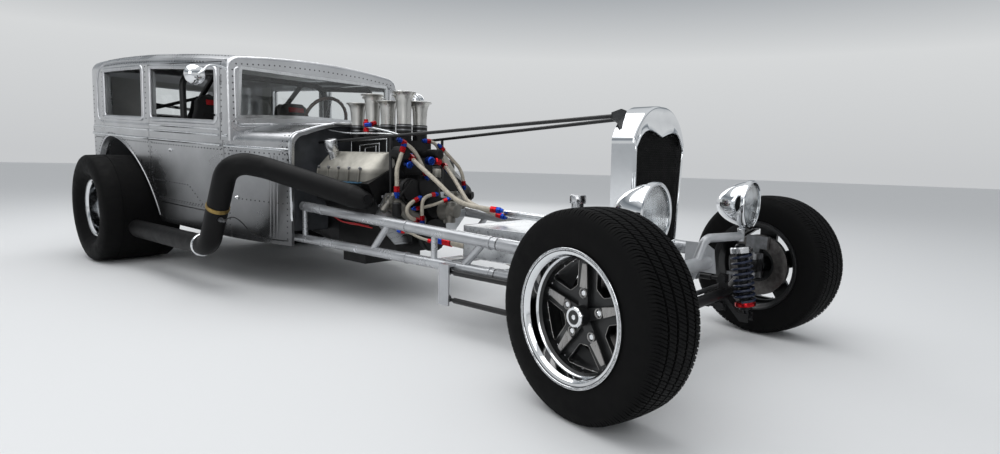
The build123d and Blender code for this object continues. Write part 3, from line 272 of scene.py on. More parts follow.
def bridge(form, rings, closed=False):
    """Faces between each ring of corners and the next, and from the last to the first if it is closed."""
    for low, high in zip(rings, rings[1:] + rings[:1] if closed else rings[1:]):
        for a, b, c, d in zip(low, low[1:] + low[:1], high[1:] + high[:1], high):
            form.faces.new((a, b, c, d))


def skin_bar(form, rings, closed=False):
    """The skin of a bar through its cross sections, with two flat ends unless it closes into a ring."""
    bridge(form, rings, closed)
    if not closed:
        form.faces.new(rings[0][::-1])
        form.faces.new(rings[-1])


def lathe(form, profile, origin, axis, sides=64, closed=False):
    """Turns a profile of (distance along the axis, radius) points. A closed profile makes a ring."""
    axis = Vector(axis).normalized()
    across = axis.orthogonal().normalized()
    upright = axis.cross(across)
    angles = [2 * pi * step / sides for step in range(sides)]
    rings = []
    for along, radius in profile:
        centre = Vector(origin) + axis * along
        rings.append([form.verts.new(centre + (across * cos(a) + upright * sin(a)) * radius)
                      for a in angles])
    skin_bar(form, rings, closed)


def hoop(form, low, high, inner, outer, origin, axis, sides):
    """A square-edged band round an axis, between two distances along it and two radii."""
    lathe(form, [(low, inner), (low, outer), (high, outer), (high, inner)], origin, axis, sides, True)


front_sleeves = bmesh.new()
sleeve_gaps = bmesh.new()
for side in (-1, 1):
    upper_rail = (rail_point(side, 0.152), rail_point(side, 1.15) - rail_point(side, 0.15), 0.562, 0.026)
    lower_rail = (place(side * 0.36, 0.152, 0.297), (0, 1, 0), 0.570, 0.024)
    for start, along, end, bore in (upper_rail, lower_rail):
        lathe(front_sleeves,
              [(0, bore), (0, bore + 0.0025), (0.002, bore + 0.0035), (end - 0.002, bore + 0.0035),
               (end, bore + 0.0025), (end, bore)], start, along, 48, True)
        hoop(sleeve_gaps, end + 0.0005, end + 0.0055, bore + 0.0005, bore + 0.0024, start, along, 48)
piece("rail_sleeves", front_sleeves, frame_coat, "chassis")
piece("rail_sleeve_gaps", sleeve_gaps, black_coat, "chassis")

# Coilovers: an oil damper inside a wound spring. The spring is dark blue powder coat, the upper cap is
# spun aluminium and the lower collar is anodised red; a threaded body shows between the coils.
def sweep(form, points, radius, sides=10, closed=False):
    """A round bar that follows a list of points. The radius is one value, or one for each point."""
    count = len(points)
    radii = radius if isinstance(radius, (list, tuple)) else [radius] * count
    angles = [2 * pi * step / sides for step in range(sides)]
    normal = None
    rings = []
    for number, point in enumerate(points):
        before = points[number - 1] if number or closed else point
        after = points[(number + 1) % count] if number < count - 1 or closed else point
        along = (after - before).normalized()
        normal = normal or along.orthogonal().normalized()
        normal = (normal - along * normal.dot(along)).normalized()
        other = along.cross(normal)
        rings.append([form.verts.new(point + (normal * cos(a) + other * sin(a)) * radii[number])
                      for a in angles])
    skin_bar(form, rings, closed)


spring_blue, tree, shader, mm = new_finish("dark_blue_powder_coat", "#141d33", 0.32)
patchy(tree, shader, mm, 20, ("#10182b", "#18223b"), (0.26, 0.4))
damper_black, tree, shader, mm = new_finish("black_anodised_damper", "#1b1c1e", 0.35, 0.6)
patchy(tree, shader, mm, 25, ("#16171a", "#202124"), (0.3, 0.42))
spun_alloy, tree, shader, mm = new_finish("spun_aluminium", "#cfd0d2", 0.26, 1.0)
patchy(tree, shader, mm, 25, ("#c3c4c6", "#d6d7d9"), (0.2, 0.34))
red_anodised, tree, shader, mm = new_finish("red_anodised_aluminium", "#b01b22", 0.25, 0.9)
patchy(tree, shader, mm, 12, ("#a3161d", "#bd2128"), (0.2, 0.32))
coil_turns = 8.5
coil_radius = 0.0415
coil_wire = 0.0055
coil_steps = 24
coil_start = 0.14
coil_end = 0.79
springs = bmesh.new()
dampers = bmesh.new()
caps = bmesh.new()
collars = bmesh.new()
for side in (-1, 1):
    top = place(side * 0.45, 0.006, 0.44)
    foot = place(side * 0.45, -0.048, 0.118)
    along = foot - top
    length = along.length
    along.normalize()
    across = Vector((1, 0, 0))
    upright = along.cross(across)
    coil = []
    for step in range(int(coil_turns * coil_steps) + 1):
        angle = 2 * pi * step / coil_steps
        share = coil_start + (coil_end - coil_start) * step / (coil_turns * coil_steps)
        coil.append(top + along * length * share + (across * cos(angle) + upright * sin(angle)) * coil_radius)
    sweep(springs, coil, coil_wire, 8)
    lathe(dampers, [(0.0, 0.014), (0.006, 0.0215), (0.6 * length, 0.0215), (0.61 * length, 0.026),
                    (0.9 * length, 0.026), (0.91 * length, 0.012), (length, 0.012)], top, along, 24)
    hoop(dampers, -0.026, 0.026, 0.006, 0.0118, foot, (1, 0, 0), 20)
    for thread in range(9):
        start = (0.62 + 0.03 * thread) * length
        lathe(dampers, [(start, 0.026), (start + 0.002, 0.0275), (start + 0.004, 0.026)], top, along, 24)
    lathe(caps, [(0.045 * length, 0.020), (0.045 * length, 0.040), (0.06 * length, 0.0438),
                 (0.125 * length, 0.0438), (0.135 * length, 0.038), (0.135 * length, 0.020)], top, along, 32)
    lathe(collars, [(0.795 * length, 0.026), (0.795 * length, 0.042), (0.805 * length, 0.0438),
                    (0.85 * length, 0.0438), (0.86 * length, 0.040), (0.86 * length, 0.026)], top, along, 32)
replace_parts(piece("coil_springs", springs, spring_blue, "chassis"), "front_coilovers")
piece("damper_bodies", dampers, damper_black, "chassis")
piece("spring_caps", caps, spun_alloy, "chassis")
piece("spring_collars", collars, red_anodised, "chassis")

# Wheels: two-piece alloy wheels with a deep stepped lip, hand-polished to a mirror, and a five-spoke centre,
# black in its pockets and machined to a fine grain on its faces, held by five plated nuts. The tyres are
# moulded rubber, so dull that their blocks and grooves show only by their shadows.
polished_rim, tree, shader, mm = new_finish("hand_polished_aluminium", "#e2e4e6", 0.07, 1.0)
patchy(tree, shader, mm, 60, ("#dadcde", "#e8eaec"), (0.05, 0.12))
wheel_black, tree, shader, mm = new_finish("satin_black_wheel_paint", "#101112", 0.35)
patchy(tree, shader, mm, 35, ("#0b0c0d", "#151617"), (0.28, 0.42))
machined_face, tree, shader, mm = new_finish("machined_wheel_face", "#9c9a98", 0.3, 1.0)
patchy(tree, shader, mm, 3, ("#8d8b89", "#aaa8a6"), (0.24, 0.38), stretch=(1, 0.06, 0.06))
nut_chrome, tree, shader, mm = new_finish("chromed_nut", "#e6e8ea", 0.06, 1.0)
patchy(tree, shader, mm, 15, ("#dcdee0", "#eceef0"), (0.04, 0.1))
disc_iron, tree, shader, mm = new_finish("worn_brake_iron", "#6d6a68", 0.35, 1.0)
patchy(tree, shader, mm, 18, ("#5f5c5a", "#7b7876"), (0.28, 0.45))
tyre_rubber, tree, shader, mm = new_finish("vulcanised_rubber", "#070708", 0.6)
patchy(tree, shader, mm, 45, ("#040404", "#080809"), (0.6, 0.8))
shader.inputs["Specular IOR Level"].default_value = 0.12
pitted(tree, shader, mm, 1.1, 0.06)
spoke_count = 5
rim_bolt_count = 25
lean_limit = 0.09


def tyre_form(walls, tread, grooves, depth, pitches, slot_share, shoulder_x, sipe, slant):
    """A tyre about the X axis: smooth walls, ribs between the grooves, and slanted cuts across them."""
    (half_tread, edge_r), (_, crown_r) = tread
    columns = [(half_tread, 0)]
    for middle, width in sorted(grooves, reverse=True):
        high, low = middle + width / 2, middle - width / 2
        columns += [(high, 0), (high - 0.0006, depth), (low + 0.0006, depth), (low, 0)]
    columns.append((-half_tread, 0))
    # Columns: distance across, radius, and how deep the cross slots are cut there.
    outline = [(x, r, 0.5 * depth if n >= len(walls) - 2 and sipe else 0) for n, (x, r) in enumerate(walls)]
    for x, cut in columns:
        bowed = crown_r - (crown_r - edge_r) * (x / half_tread) ** 2
        slot = 0 if cut else depth * 0.8 if abs(x) >= shoulder_x else sipe
        outline.append((x, bowed - cut, slot))
    outline += [(-x, r, cut) for x, r, cut in outline[len(walls) - 1::-1]]
    pitch = 2 * pi / pitches
    steps = ((0.0, 1), (slot_share, 1), (slot_share + 0.03, 0), (0.5, 0), (0.52, 0.6), (0.58, 0.6), (0.6, 0),
             (0.97, 0))
    angles = [(pitch * (number + share), low) for number in range(pitches) for share, low in steps]
    form = bmesh.new()
    rings = []
    for x, r, slot in outline:
        lean = slant * max(-lean_limit, min(lean_limit, x))
        radii = [(angle + lean, r - slot * low) for angle, low in angles]
        rings.append([form.verts.new((x, radius * cos(angle), radius * sin(angle)))
                      for angle, radius in radii])
    bridge(form, rings, closed=True)
    return form


front_walls = [(0.0985, 0.1915), (0.1015, 0.1985), (0.1022, 0.2085), (0.1035, 0.222), (0.1048, 0.245),
               (0.1045, 0.265), (0.1025, 0.285), (0.0985, 0.299), (0.0925, 0.3095), (0.0875, 0.3155)]
front_tread = ((0.082, 0.3197), (0, 0.3238))
front_grooves = [(0.057, 0.0075), (0.0205, 0.009), (-0.0205, 0.009), (-0.057, 0.0075)]
rear_walls = [(0.1875, 0.1915), (0.1905, 0.1985), (0.1925, 0.2085), (0.215, 0.228), (0.238, 0.252),
              (0.2485, 0.285), (0.2475, 0.318), (0.242, 0.343), (0.235, 0.358)]
rear_tread = ((0.224, 0.3672), (0, 0.3744))
rear_grooves = [(0.13, 0.006), (-0.13, 0.006)]

# Columns: distance out from the wheel's centre plane, and radius, of the bright lip.
front_lip = [(0.1088, 0.2086), (0.1094, 0.2075), (0.1094, 0.2012), (0.1072, 0.1992), (0.1052, 0.1964),
             (0.1046, 0.1912), (0.1032, 0.1888), (0.094, 0.1829), (0.0925, 0.1818), (0.0672, 0.1816),
             (0.066, 0.1795), (0.0612, 0.1764)]
rear_lip = [(0.1978, 0.2086), (0.1984, 0.2075), (0.1984, 0.2012), (0.1962, 0.1992), (0.1942, 0.1964),
            (0.1936, 0.1912), (0.1922, 0.1888), (0.183, 0.1829), (0.1815, 0.1818), (0.0322, 0.1816),
            (0.031, 0.1795), (0.0262, 0.1764)]


def wheel_point(number, x, across, out):
    """A point by its distance out from the wheel's centre plane, and across and along spoke number."""
    return Matrix.Rotation(2 * pi * number / spoke_count, 3, "X") @ Vector((x, across, out))


def spoke_faces(face_x):
    """The machined flat on each spoke, the ring round each nut and the bright edge of each window."""
    form = bmesh.new()
    flat = [(-0.0165, 0.0855), (-0.0105, 0.150), (-0.0085, 0.1575), (0.0085, 0.1575), (0.0105, 0.150),
            (0.0165, 0.0855)]
    window = [(-0.020, 0.094), (-0.0645, 0.152), (-0.0625, 0.1615), (-0.031, 0.1635), (0.031, 0.1635),
              (0.0625, 0.1615), (0.0645, 0.152), (0.020, 0.094), (0.013, 0.0915), (-0.013, 0.0915)]
    for number in range(spoke_count):
        low = [form.verts.new(wheel_point(number, face_x + 0.0136, y, z)) for y, z in flat]
        high = [form.verts.new(wheel_point(number, face_x + 0.0164, y * 0.92, z - 0.0006)) for y, z in flat]
        skin_bar(form, [low, high])
        lathe(form, [(0.011, 0.0105), (0.0176, 0.0115), (0.0186, 0.0135), (0.0176, 0.0155), (0.011, 0.0165)],
              wheel_point(number, face_x, 0, 0.069), (1, 0, 0), 24, True)
        sweep(form, [wheel_point(number + 0.5, face_x + 0.0004, y, z) for y, z in window], 0.0011, 6, True)
    return form


def nuts_and_cap(face_x, hub_radius, hub_out):
    """A hexagon nut in each ring, small bolts round the centre's edge, and the polished ring on the hub."""
    form = bmesh.new()
    for number in range(spoke_count):
        lathe(form, [(0.001, 0.0102), (0.0125, 0.0102), (0.0145, 0.0085)],
              wheel_point(number, face_x, 0, 0.069), (1, 0, 0), 6)
    for number in range(rim_bolt_count):
        seat = wheel_point(number * spoke_count / rim_bolt_count + 0.1, face_x, 0, 0.1672)
        lathe(form, [(-0.001, 0.0026), (0.0022, 0.0026), (0.0032, 0.0012)], seat, (1, 0, 0), 8)
    tip = face_x + hub_out
    lathe(form, [(tip - 0.003, hub_radius + 0.0006), (tip + 0.001, hub_radius + 0.0006),
                 (tip + 0.0045, hub_radius * 0.92), (tip + 0.0050, hub_radius * 0.78),
                 (tip + 0.0036, hub_radius * 0.66), (tip - 0.001, hub_radius * 0.64)], (0, 0, 0), (1, 0, 0),
          48, True)
    lathe(form, [(tip - 0.001, 0.0085), (tip + 0.004, 0.0085), (tip + 0.005, 0.007)], (0, 0, 0), (1, 0, 0),
          6)
    return form


for end in ("front", "rear"):
    for side in ("left", "right"):
        pivot = pivots[f"spin_{end}_{side}"]
        body = f"{end}_{side}_wheel"
        outward = Vector(pivot["axis"]).normalized() * (1 if side == "left" else -1)
        upward = Vector((0, 0, 1))
        stand = Matrix((outward, upward.cross(outward), upward)).transposed().to_4x4()
        stand.translation = Vector(pivot["pos_m"])
        if end == "front":
            rubber = tyre_form(front_walls, front_tread, front_grooves, depth=0.0065, pitches=92,
                               slot_share=0.16, shoulder_x=0.06, sipe=0.0035, slant=1.5)
            lip, face_x, hub_radius, hub_out = front_lip, 0.028, 0.031, 0.048
        else:
            rubber = tyre_form(rear_walls, rear_tread, rear_grooves, depth=0.0025, pitches=24,
                               slot_share=0.10, shoulder_x=1, sipe=0, slant=0)
            lip, face_x, hub_radius, hub_out = rear_lip, -0.04, 0.034, 0.03
        rubber.transform(stand)
        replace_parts(piece(f"tyre_{end}_{side}_rubber", rubber, tyre_rubber, body, 38), f"tyre_{end}_{side}")
        dress(f"rim_{end}_{side}", wheel_black)
        if end == "front":
            rotor = bmesh.new()
            lathe(rotor, [(-0.0413, 0.079), (-0.0413, 0.1413), (-0.0415, 0.142), (-0.0625, 0.142),
                          (-0.0628, 0.1413), (-0.0628, 0.079)], (0, 0, 0), (1, 0, 0), 96, True)
            rotor.transform(stand)
            piece(f"rotor_{side}_faces", rotor, disc_iron, body)
        bright = bmesh.new()
        lathe(bright, lip + [(x, r + 0.0002) for x, r in reversed(lip[1:])], (0, 0, 0), (1, 0, 0), 128, True)
        bright.transform(stand)
        piece(f"rim_{end}_{side}_lip", bright, polished_rim, body)
        faces = spoke_faces(face_x)
        faces.transform(stand)
        piece(f"rim_{end}_{side}_spoke_faces", faces, machined_face, body)
        nuts = nuts_and_cap(face_x, hub_radius, hub_out)
        nuts.transform(stand)
        piece(f"rim_{end}_{side}_nuts", nuts, nut_chrome, body)

# Engine: a big V8 in satin black, with sand-cast covers that keep a dull grain; their colour is painted
# darker towards the gasket, a painted shade for their sides. Each cover is bolted down at its ribs over a
# blue gasket, and a turned breather stands on its back.
engine_coat, tree, shader, mm = new_finish("satin_black_engine_paint", "#0a0a0b", 0.45)
patchy(tree, shader, mm, 50, ("#060606", "#0e0e0f"), (0.35, 0.6))
shader.inputs["Specular IOR Level"].default_value = 0.3
for node in ("engine_block", "injection_manifold", "front_drive"):
    dress(node, engine_coat)
cast_alloy, tree, shader, mm = new_finish("sand_cast_aluminium", "#b5b2a9", 0.5, 0.75)
patchy(tree, shader, mm, 35, ("#a8a59c", "#c1beb5"), (0.42, 0.6))
pitted(tree, shader, mm, 1.4, 0.3)
height = add(tree, "ShaderNodeSeparateXYZ", {0: mm}).outputs["Z"]
# Painted shade: below 718 mm the cast colour is multiplied darker, down to 0.42 at 690 mm and under, for the
# shaded sides of the covers.
painted_cover_shade = add(tree, "ShaderNodeMapRange", {0: height, 1: 690.0, 2: 718.0, 3: 0.42, 4: 1.0})
metal = shader.inputs["Base Color"].links[0].from_socket
cover_with_painted_shade = add(tree, "ShaderNodeMixRGB", {0: 1.0, 1: metal, 2: painted_cover_shade.outputs[0]}, blend_type="MULTIPLY")
tree.links.new(cover_with_painted_shade.outputs[0], shader.inputs["Base Color"])
gasket_blue, tree, shader, mm = new_finish("blue_rubber_gasket", "#2f5c78", 0.5)
patchy(tree, shader, mm, 20, ("#295370", "#356580"), (0.42, 0.58))


def rounded(corners, radius, steps=5):
    """A closed (y, z) outline with its corners rounded off."""
    outline = []
    for number, corner in enumerate(corners):
        here = Vector(corner)
        before = (Vector(corners[number - 1]) - here).normalized()
        after = (Vector(corners[(number + 1) % len(corners)]) - here).normalized()
        for step in range(steps + 1):
            share = step / steps
            point = here + before * radius * (1 - share) ** 2 + after * radius * share ** 2
            outline.append((point.x, point.y))
    return outline


cover_outline = rounded([(0.352, 0.640), (0.342, 0.710), (0.246, 0.802), (0.181, 0.806), (0.159, 0.736)],
                        0.014, 4)
cover_front = 1.640
cover_back = 2.115
cover_outer = 0.352
cover_inner = 0.170
gasket_x = 0.3525
gasket_z = 0.641
corner_radius = 0.095
covers = bmesh.new()
gaskets = bmesh.new()
cover_bolts = bmesh.new()
breathers = bmesh.new()
for side in (-1, 1):
    rings = []
    stations = [cover_front + corner_radius * (1 - cos(pi * n / 20))
                for n in range(11)] + [cover_back - 0.006, cover_back]
    for number, y in enumerate(stations):
        away = max(0, corner_radius - (y - cover_front))
        inset = corner_radius - sqrt(corner_radius ** 2 - away ** 2)
        if number == len(stations) - 1:
            inset = 0.006
        share = 1 - inset / (cover_outer - cover_inner)
        across = [(cover_inner + (x - cover_inner) * share, z) for x, z in cover_outline]
        rings.append([covers.verts.new(place(side * x, y, z)) for x, z in across])
    skin_bar(covers, rings)
    edge = [place(side * gasket_x, 2.11, gasket_z)]
    for angle in range(0, 91, 10):
        inset = corner_radius * (1 - cos(radians(angle)))
        y = cover_front + corner_radius * (1 - sin(radians(angle)))
        edge.append(place(side * (gasket_x - inset), y, gasket_z))
    sweep(gaskets, edge, 0.0042, 8)
    for step in range(5):
        y = 1.7105 + 0.095 * step
        sweep(covers, [place(side * 0.3535, y, 0.646), place(side * 0.3445, y, 0.706)], 0.0052, 8)
        lathe(cover_bolts, [(-0.004, 0.0095), (0.003, 0.0095), (0.003, 0.0068), (0.009, 0.0068),
                            (0.0105, 0.005)], place(side * 0.338, y, 0.715), (side * 0.72, 0, 0.69), 6)
    lathe(breathers, [(-0.02, 0.025), (0.028, 0.025), (0.030, 0.034), (0.034, 0.036), (0.088, 0.036),
                      (0.094, 0.034), (0.097, 0.028), (0.097, 0.012)], place(side * 0.274, 2.045, 0.776),
          (side * 0.26, -0.06, 1.02), 40)
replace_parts(piece("valve_covers_cast", covers, cast_alloy, "chassis", 40), "valve_covers")
piece("cover_gaskets", gaskets, gasket_blue, "chassis")
piece("cover_bolts", cover_bolts, plain_steel, "chassis")
piece("cover_breathers", breathers, spun_alloy, "chassis")

# Velocity stacks: eight spun aluminium trumpets, tall and short in turn, with rolled lips and a soft satin
# sheen. A black rubber sleeve with two steel bands holds each one on its runner.
stack_alloy, tree, shader, mm = new_finish("satin_spun_stack_aluminium", "#c4c3bf", 0.3, 0.9)
patchy(tree, shader, mm, 60, ("#bdbcb8", "#cbcac6"), (0.26, 0.34))
trumpets = bmesh.new()
sleeves = bmesh.new()
bands = bmesh.new()
for row in (-1, 1):
    for step in range(4):
        tall = (step % 2 == 0) if row < 0 else (step % 2 == 1)
        height = (1.132 if tall else 1.088) - 0.930
        foot = place(row * 0.057, 1.694 + 0.141 * step, 0.930)
        outside = [(0.0, 0.0355), (height * 0.4, 0.0382), (height - 0.045, 0.0418), (height - 0.026, 0.0462),
                   (height - 0.014, 0.0520), (height - 0.007, 0.0580), (height - 0.004, 0.0615)]
        lip = [(height - 0.0065, 0.0640), (height - 0.0035, 0.0660), (height, 0.0650),
               (height + 0.001, 0.0625)]
        inside = [(a + 0.001, r - 0.0022) for a, r in reversed(outside[1:])] + [(0.001, 0.033)]
        lathe(trumpets, outside + lip + inside, foot, (0, 0, 1), 48, True)
        hoop(sleeves, -0.012, 0.030, 0.0345, 0.0415, foot, (0, 0, 1), 40)
        for low in (-0.004, 0.018):
            hoop(bands, low, low + 0.007, 0.041, 0.0425, foot, (0, 0, 1), 40)
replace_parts(piece("stack_trumpets", trumpets, stack_alloy, "chassis"), "velocity_stacks")
hose_black, tree, shader, mm = new_finish("black_reinforced_hose", "#0b0b0c", 0.55)
patchy(tree, shader, mm, 25, ("#080809", "#101011"), (0.48, 0.64))
piece("stack_sleeves", sleeves, hose_black, "chassis")
piece("stack_bands", bands, plain_steel, "chassis")

# Plumbing: braided hoses with red sockets and blue swivel nuts, hand-laid between the pumps, the injection
# unit and the tank. Hard lines of bright tube feed the nozzles, and a loom of red wire hangs at the rail. The
# braid is given only as a dull grain of 2 mm, coarser than real wire, so that it shows.
braid, tree, shader, mm = new_finish("sand_coloured_braided_hose", "#a9a294", 0.5, 0.25)
patchy(tree, shader, mm, 22, ("#9a9386", "#b8b1a3"), (0.42, 0.6))
pitted(tree, shader, mm, 2.2, 0.5)
blue_anodised, tree, shader, mm = new_finish("blue_anodised_aluminium", "#1d3f9c", 0.25, 0.9)
patchy(tree, shader, mm, 12, ("#193890", "#2147a8"), (0.2, 0.32))
bright_tube, tree, shader, mm = new_finish("bright_drawn_tube", "#d6d8da", 0.2, 1.0)
patchy(tree, shader, mm, 30, ("#cccfd1", "#dfe1e3"), (0.15, 0.27))
loom_red, tree, shader, mm = new_finish("red_wire_insulation", "#9c1518", 0.4)
patchy(tree, shader, mm, 25, ("#8d1114", "#ab191c"), (0.34, 0.48))
lead_grey, tree, shader, mm = new_finish("pale_silicone_lead", "#c6c7c4", 0.5)
patchy(tree, shader, mm, 30, ("#b9bab6", "#d0d1ce"), (0.44, 0.58))


def nurbs_run(points, radius):
    """A round line that follows given control points smoothly, as a mesh."""
    curve = bpy.data.curves.new("run", "CURVE")
    curve.dimensions = "3D"
    curve.bevel_depth = radius
    curve.bevel_resolution = 3
    curve.use_fill_caps = True
    curve.resolution_u = 10
    spline = curve.splines.new("NURBS")
    spline.points.add(len(points) - 1)
    for control, (x, y, z) in zip(spline.points, points):
        control.co = (*place(x, y, z), 1)
    spline.order_u = 3
    spline.use_endpoint_u = True
    holder = bpy.data.objects.new("run", curve)
    bpy.context.scene.collection.objects.link(holder)
    mesh = bpy.data.meshes.new_from_object(holder.evaluated_get(bpy.context.evaluated_depsgraph_get()))
    bpy.data.objects.remove(holder)
    bpy.data.curves.remove(curve)
    return mesh


def runs_piece(name, lines, finish):
    """Several runs of one finish as one piece."""
    form = bmesh.new()
    for radius, points in lines:
        mesh = nurbs_run(points, radius)
        form.from_mesh(mesh)
        bpy.data.meshes.remove(mesh)
    return piece(name, form, finish, "chassis", 50)


# Columns: radius of the hose, and its control points from one socket to the other.
hose_routes = [
    (0.0115, [(-0.228, 1.5, 0.820), (-0.249, 1.5, 0.766), (-0.268, 1.5, 0.717), (-0.266, 1.5, 0.665),
              (-0.266, 1.5, 0.616)]),
    (0.0100, [(-0.225, 1.5, 0.856), (-0.178, 1.49, 0.833), (-0.130, 1.48, 0.772), (-0.099, 1.47, 0.700)]),
    (0.0120, [(-0.169, 1.5, 0.778), (-0.177, 1.45, 0.750), (-0.177, 1.38, 0.711), (-0.166, 1.3, 0.658),
              (-0.164, 1.2, 0.590), (-0.143, 1.1, 0.550), (-0.100, 0.98, 0.543)]),
    (0.0095, [(-0.011, 1.55, 0.870), (0.040, 1.54, 0.868), (0.060, 1.52, 0.791), (0.074, 1.5, 0.735)]),
    (0.0095, [(0.048, 1.5, 0.832), (0.107, 1.48, 0.776), (0.158, 1.45, 0.711), (0.169, 1.45, 0.645)]),
    (0.0110, [(0.066, 1.5, 0.742), (0.031, 1.4, 0.690), (-0.019, 1.28, 0.611), (-0.092, 1.15, 0.553),
              (-0.060, 0.98, 0.515)]),
    (0.0100, [(-0.180, 1.45, 0.565), (-0.245, 1.45, 0.540), (-0.238, 1.45, 0.475), (-0.172, 1.45, 0.458)]),
    (0.0095, [(-0.090, 1.42, 0.590), (-0.155, 1.42, 0.585), (-0.170, 1.42, 0.520), (-0.163, 1.42, 0.470)]),
    (0.0085, [(-0.020, 1.4, 0.560), (-0.096, 1.42, 0.530), (-0.160, 1.46, 0.519)]),
    (0.0075, [(-0.278, 1.44, 0.407), (-0.250, 1.41, 0.404), (-0.230, 1.38, 0.380), (-0.20, 1.32, 0.365)]),
    (0.0185, [(-0.165, 1.23, 0.370), (-0.140, 1.12, 0.358), (-0.129, 1.0, 0.350), (-0.150, 0.80, 0.305),
              (-0.160, 0.5, 0.295), (-0.10, 0.30, 0.44)]),
]
runs_piece("braided_hoses", hose_routes, braid)
sockets = bmesh.new()
swivels = bmesh.new()
for radius, points in hose_routes:
    for end, before in ((points[0], points[1]), (points[-1], points[-2])):
        tip = place(*end)
        along = (tip - place(*before)).normalized()
        lathe(sockets, [(-1.6 * radius, radius * 1.05), (-1.45 * radius, radius * 1.42),
                        (1.0 * radius, radius * 1.42), (1.15 * radius, radius * 1.1)], tip, along, 6)
        lathe(swivels, [(1.0 * radius, radius * 1.05), (1.15 * radius, radius * 1.36),
                        (2.7 * radius, radius * 1.36), (2.85 * radius, radius * 0.95),
                        (3.8 * radius, radius * 0.85)], tip, along, 6)
piece("hose_sockets", sockets, red_anodised, "chassis")
lathe(swivels, [(-0.026, 0.016), (-0.02, 0.022), (0.02, 0.022), (0.026, 0.016)], place(-0.05, 1.49, 0.765),
      (0.3, 1, 0), 24)
lathe(swivels, [(-0.022, 0.014), (-0.018, 0.019), (0.018, 0.019), (0.022, 0.014)], place(-0.19, 1.5, 0.745),
      (0.3, 1, 0.2), 24)
lathe(swivels, [(0, 0.012), (0.03, 0.012), (0.034, 0.009)], place(-0.255, 1.775, 0.945), (0.4, -1, 0.1), 16)
piece("hose_swivels", swivels, blue_anodised, "chassis")
lines = [(0.0034, [(x, back, 0.735), (x, back, top), (x, back, top), (x, (back + front) / 2, top + 0.006),
                   (x, front, top + 0.012), (x, front, top + 0.012), (x, front, 0.735)])
         for side in (-1, 1) for x, back, front, top in ((side * 0.136, 2.07, 1.745, 0.866),
                                                         (side * 0.128, 2.0, 1.82, 0.842),
                                                         (side * 0.120, 1.96, 1.86, 0.826))]
lines += [(0.0055, [(-0.247, 1.78, 0.935), (-0.235, 1.68, 0.926), (-0.225, 1.54, 0.895)]),
          (0.0165, [(-0.062, 0.935, 0.527), (-0.095, 0.88, 0.529), (-0.125, 0.75, 0.531),
                    (-0.15, 0.56, 0.530)]),
          (0.004, [(-0.10, 1.60, 0.90), (-0.22, 1.72, 0.905), (-0.27, 1.95, 0.90), (-0.22, 2.2, 0.93)])]
runs_piece("hard_lines", lines, bright_tube)
runs_piece("wire_loom",
           [(0.0034, [(-0.33, 2.0, 0.47), (-0.361, 1.9, 0.436), (-0.342, 1.8, 0.418), (-0.352, 1.7, 0.424),
                      (-0.33, 1.62, 0.412)]),
            (0.0028, [(-0.34, 1.96, 0.45), (-0.352, 1.86, 0.424), (-0.356, 1.76, 0.43),
                      (-0.33, 1.65, 0.42)])], loom_red)
leads = []
for side in (-1, 1):
    for step in range(4):
        y = 1.735 + 0.105 * step
        leads.append((0.004,
                      [(side * 0.325, y, 0.585), (side * 0.372, y + 0.01, 0.598),
                       (side * 0.376, y + 0.06, 0.628), (side * (0.362 + 0.004 * step), y + 0.14, 0.624),
                       (side * (0.355 + 0.004 * step), 2.13, 0.62), (side * 0.25, 2.17, 0.66)]))
runs_piece("plug_leads", leads, lead_grey)

# Injection unit and engine nose: turned pumps, a filter and their short pipes in dull black, with red
# anodised spools, bolted to the front of the engine. The water pump's arms are cast and keep a grain; a
# grooved pulley sits above them, and a flat rubber belt runs round three more.
spools = bmesh.new()
lathe(spools, [(-0.03, 0.010), (-0.03, 0.015), (-0.012, 0.015), (-0.010, 0.009), (-0.002, 0.009),
               (0, 0.0155), (0.022, 0.0155), (0.026, 0.011), (0.036, 0.011)], place(-0.247, 1.78, 0.94),
      (0, 0, 1), 24)
lathe(spools, [(-0.016, 0.010), (-0.014, 0.0135), (0.014, 0.0135), (0.016, 0.010)],
      place(-0.212, 1.765, 0.955), (1, 0.2, 0.3), 24)
lathe(spools, [(-0.02, 0.013), (-0.016, 0.018), (0.016, 0.018), (0.02, 0.013)], place(0.0, 1.485, 0.762),
      (1, 0, -0.3), 24)
piece("injection_spools", spools, red_anodised, "chassis")
blacks = bmesh.new()
lathe(blacks, [(0, 0.020), (0.004, 0.024), (0.066, 0.024), (0.072, 0.018)], place(-0.266, 1.5, 0.478),
      (0, 0, 1), 28)
lathe(blacks, [(-0.045, 0.03), (-0.04, 0.036), (0.04, 0.036), (0.045, 0.03)], place(-0.21, 1.54, 0.80),
      (0.15, 1, 0), 32)
lathe(blacks, [(-0.05, 0.02), (-0.045, 0.028), (0.05, 0.028), (0.055, 0.02)], place(0.02, 1.53, 0.80),
      (0.1, 1, 0), 32)
lathe(blacks, [(0, 0.024), (0.02, 0.030), (0.024, 0.030), (0.026, 0.024)], place(0.0, 1.49, 0.674),
      (0, 0, -1), 32)
sweep(blacks, [place(-0.21, 1.54, 0.80), place(-0.13, 1.60, 0.80)], 0.02, 12)
sweep(blacks, [place(0.02, 1.55, 0.80), place(0.02, 1.65, 0.80)], 0.02, 12)
sweep(blacks, [place(-0.172, 1.49, 0.664), place(-0.258, 1.5, 0.570)], 0.007, 10)
lathe(blacks, [(-0.016, 0.058), (-0.015, 0.066), (-0.012, 0.060), (-0.009, 0.066), (-0.006, 0.060),
               (-0.003, 0.066), (0, 0.060), (0.003, 0.066), (0.006, 0.060), (0.009, 0.066), (0.014, 0.058),
               (0.014, 0.02)], place(-0.06, 1.50, 0.63), (0, 1, 0), 48)
sweep(blacks, [place(-0.06, 1.50, 0.63), place(-0.06, 1.59, 0.63)], 0.018, 16)
piece("injection_unit", blacks, engine_coat, "chassis")
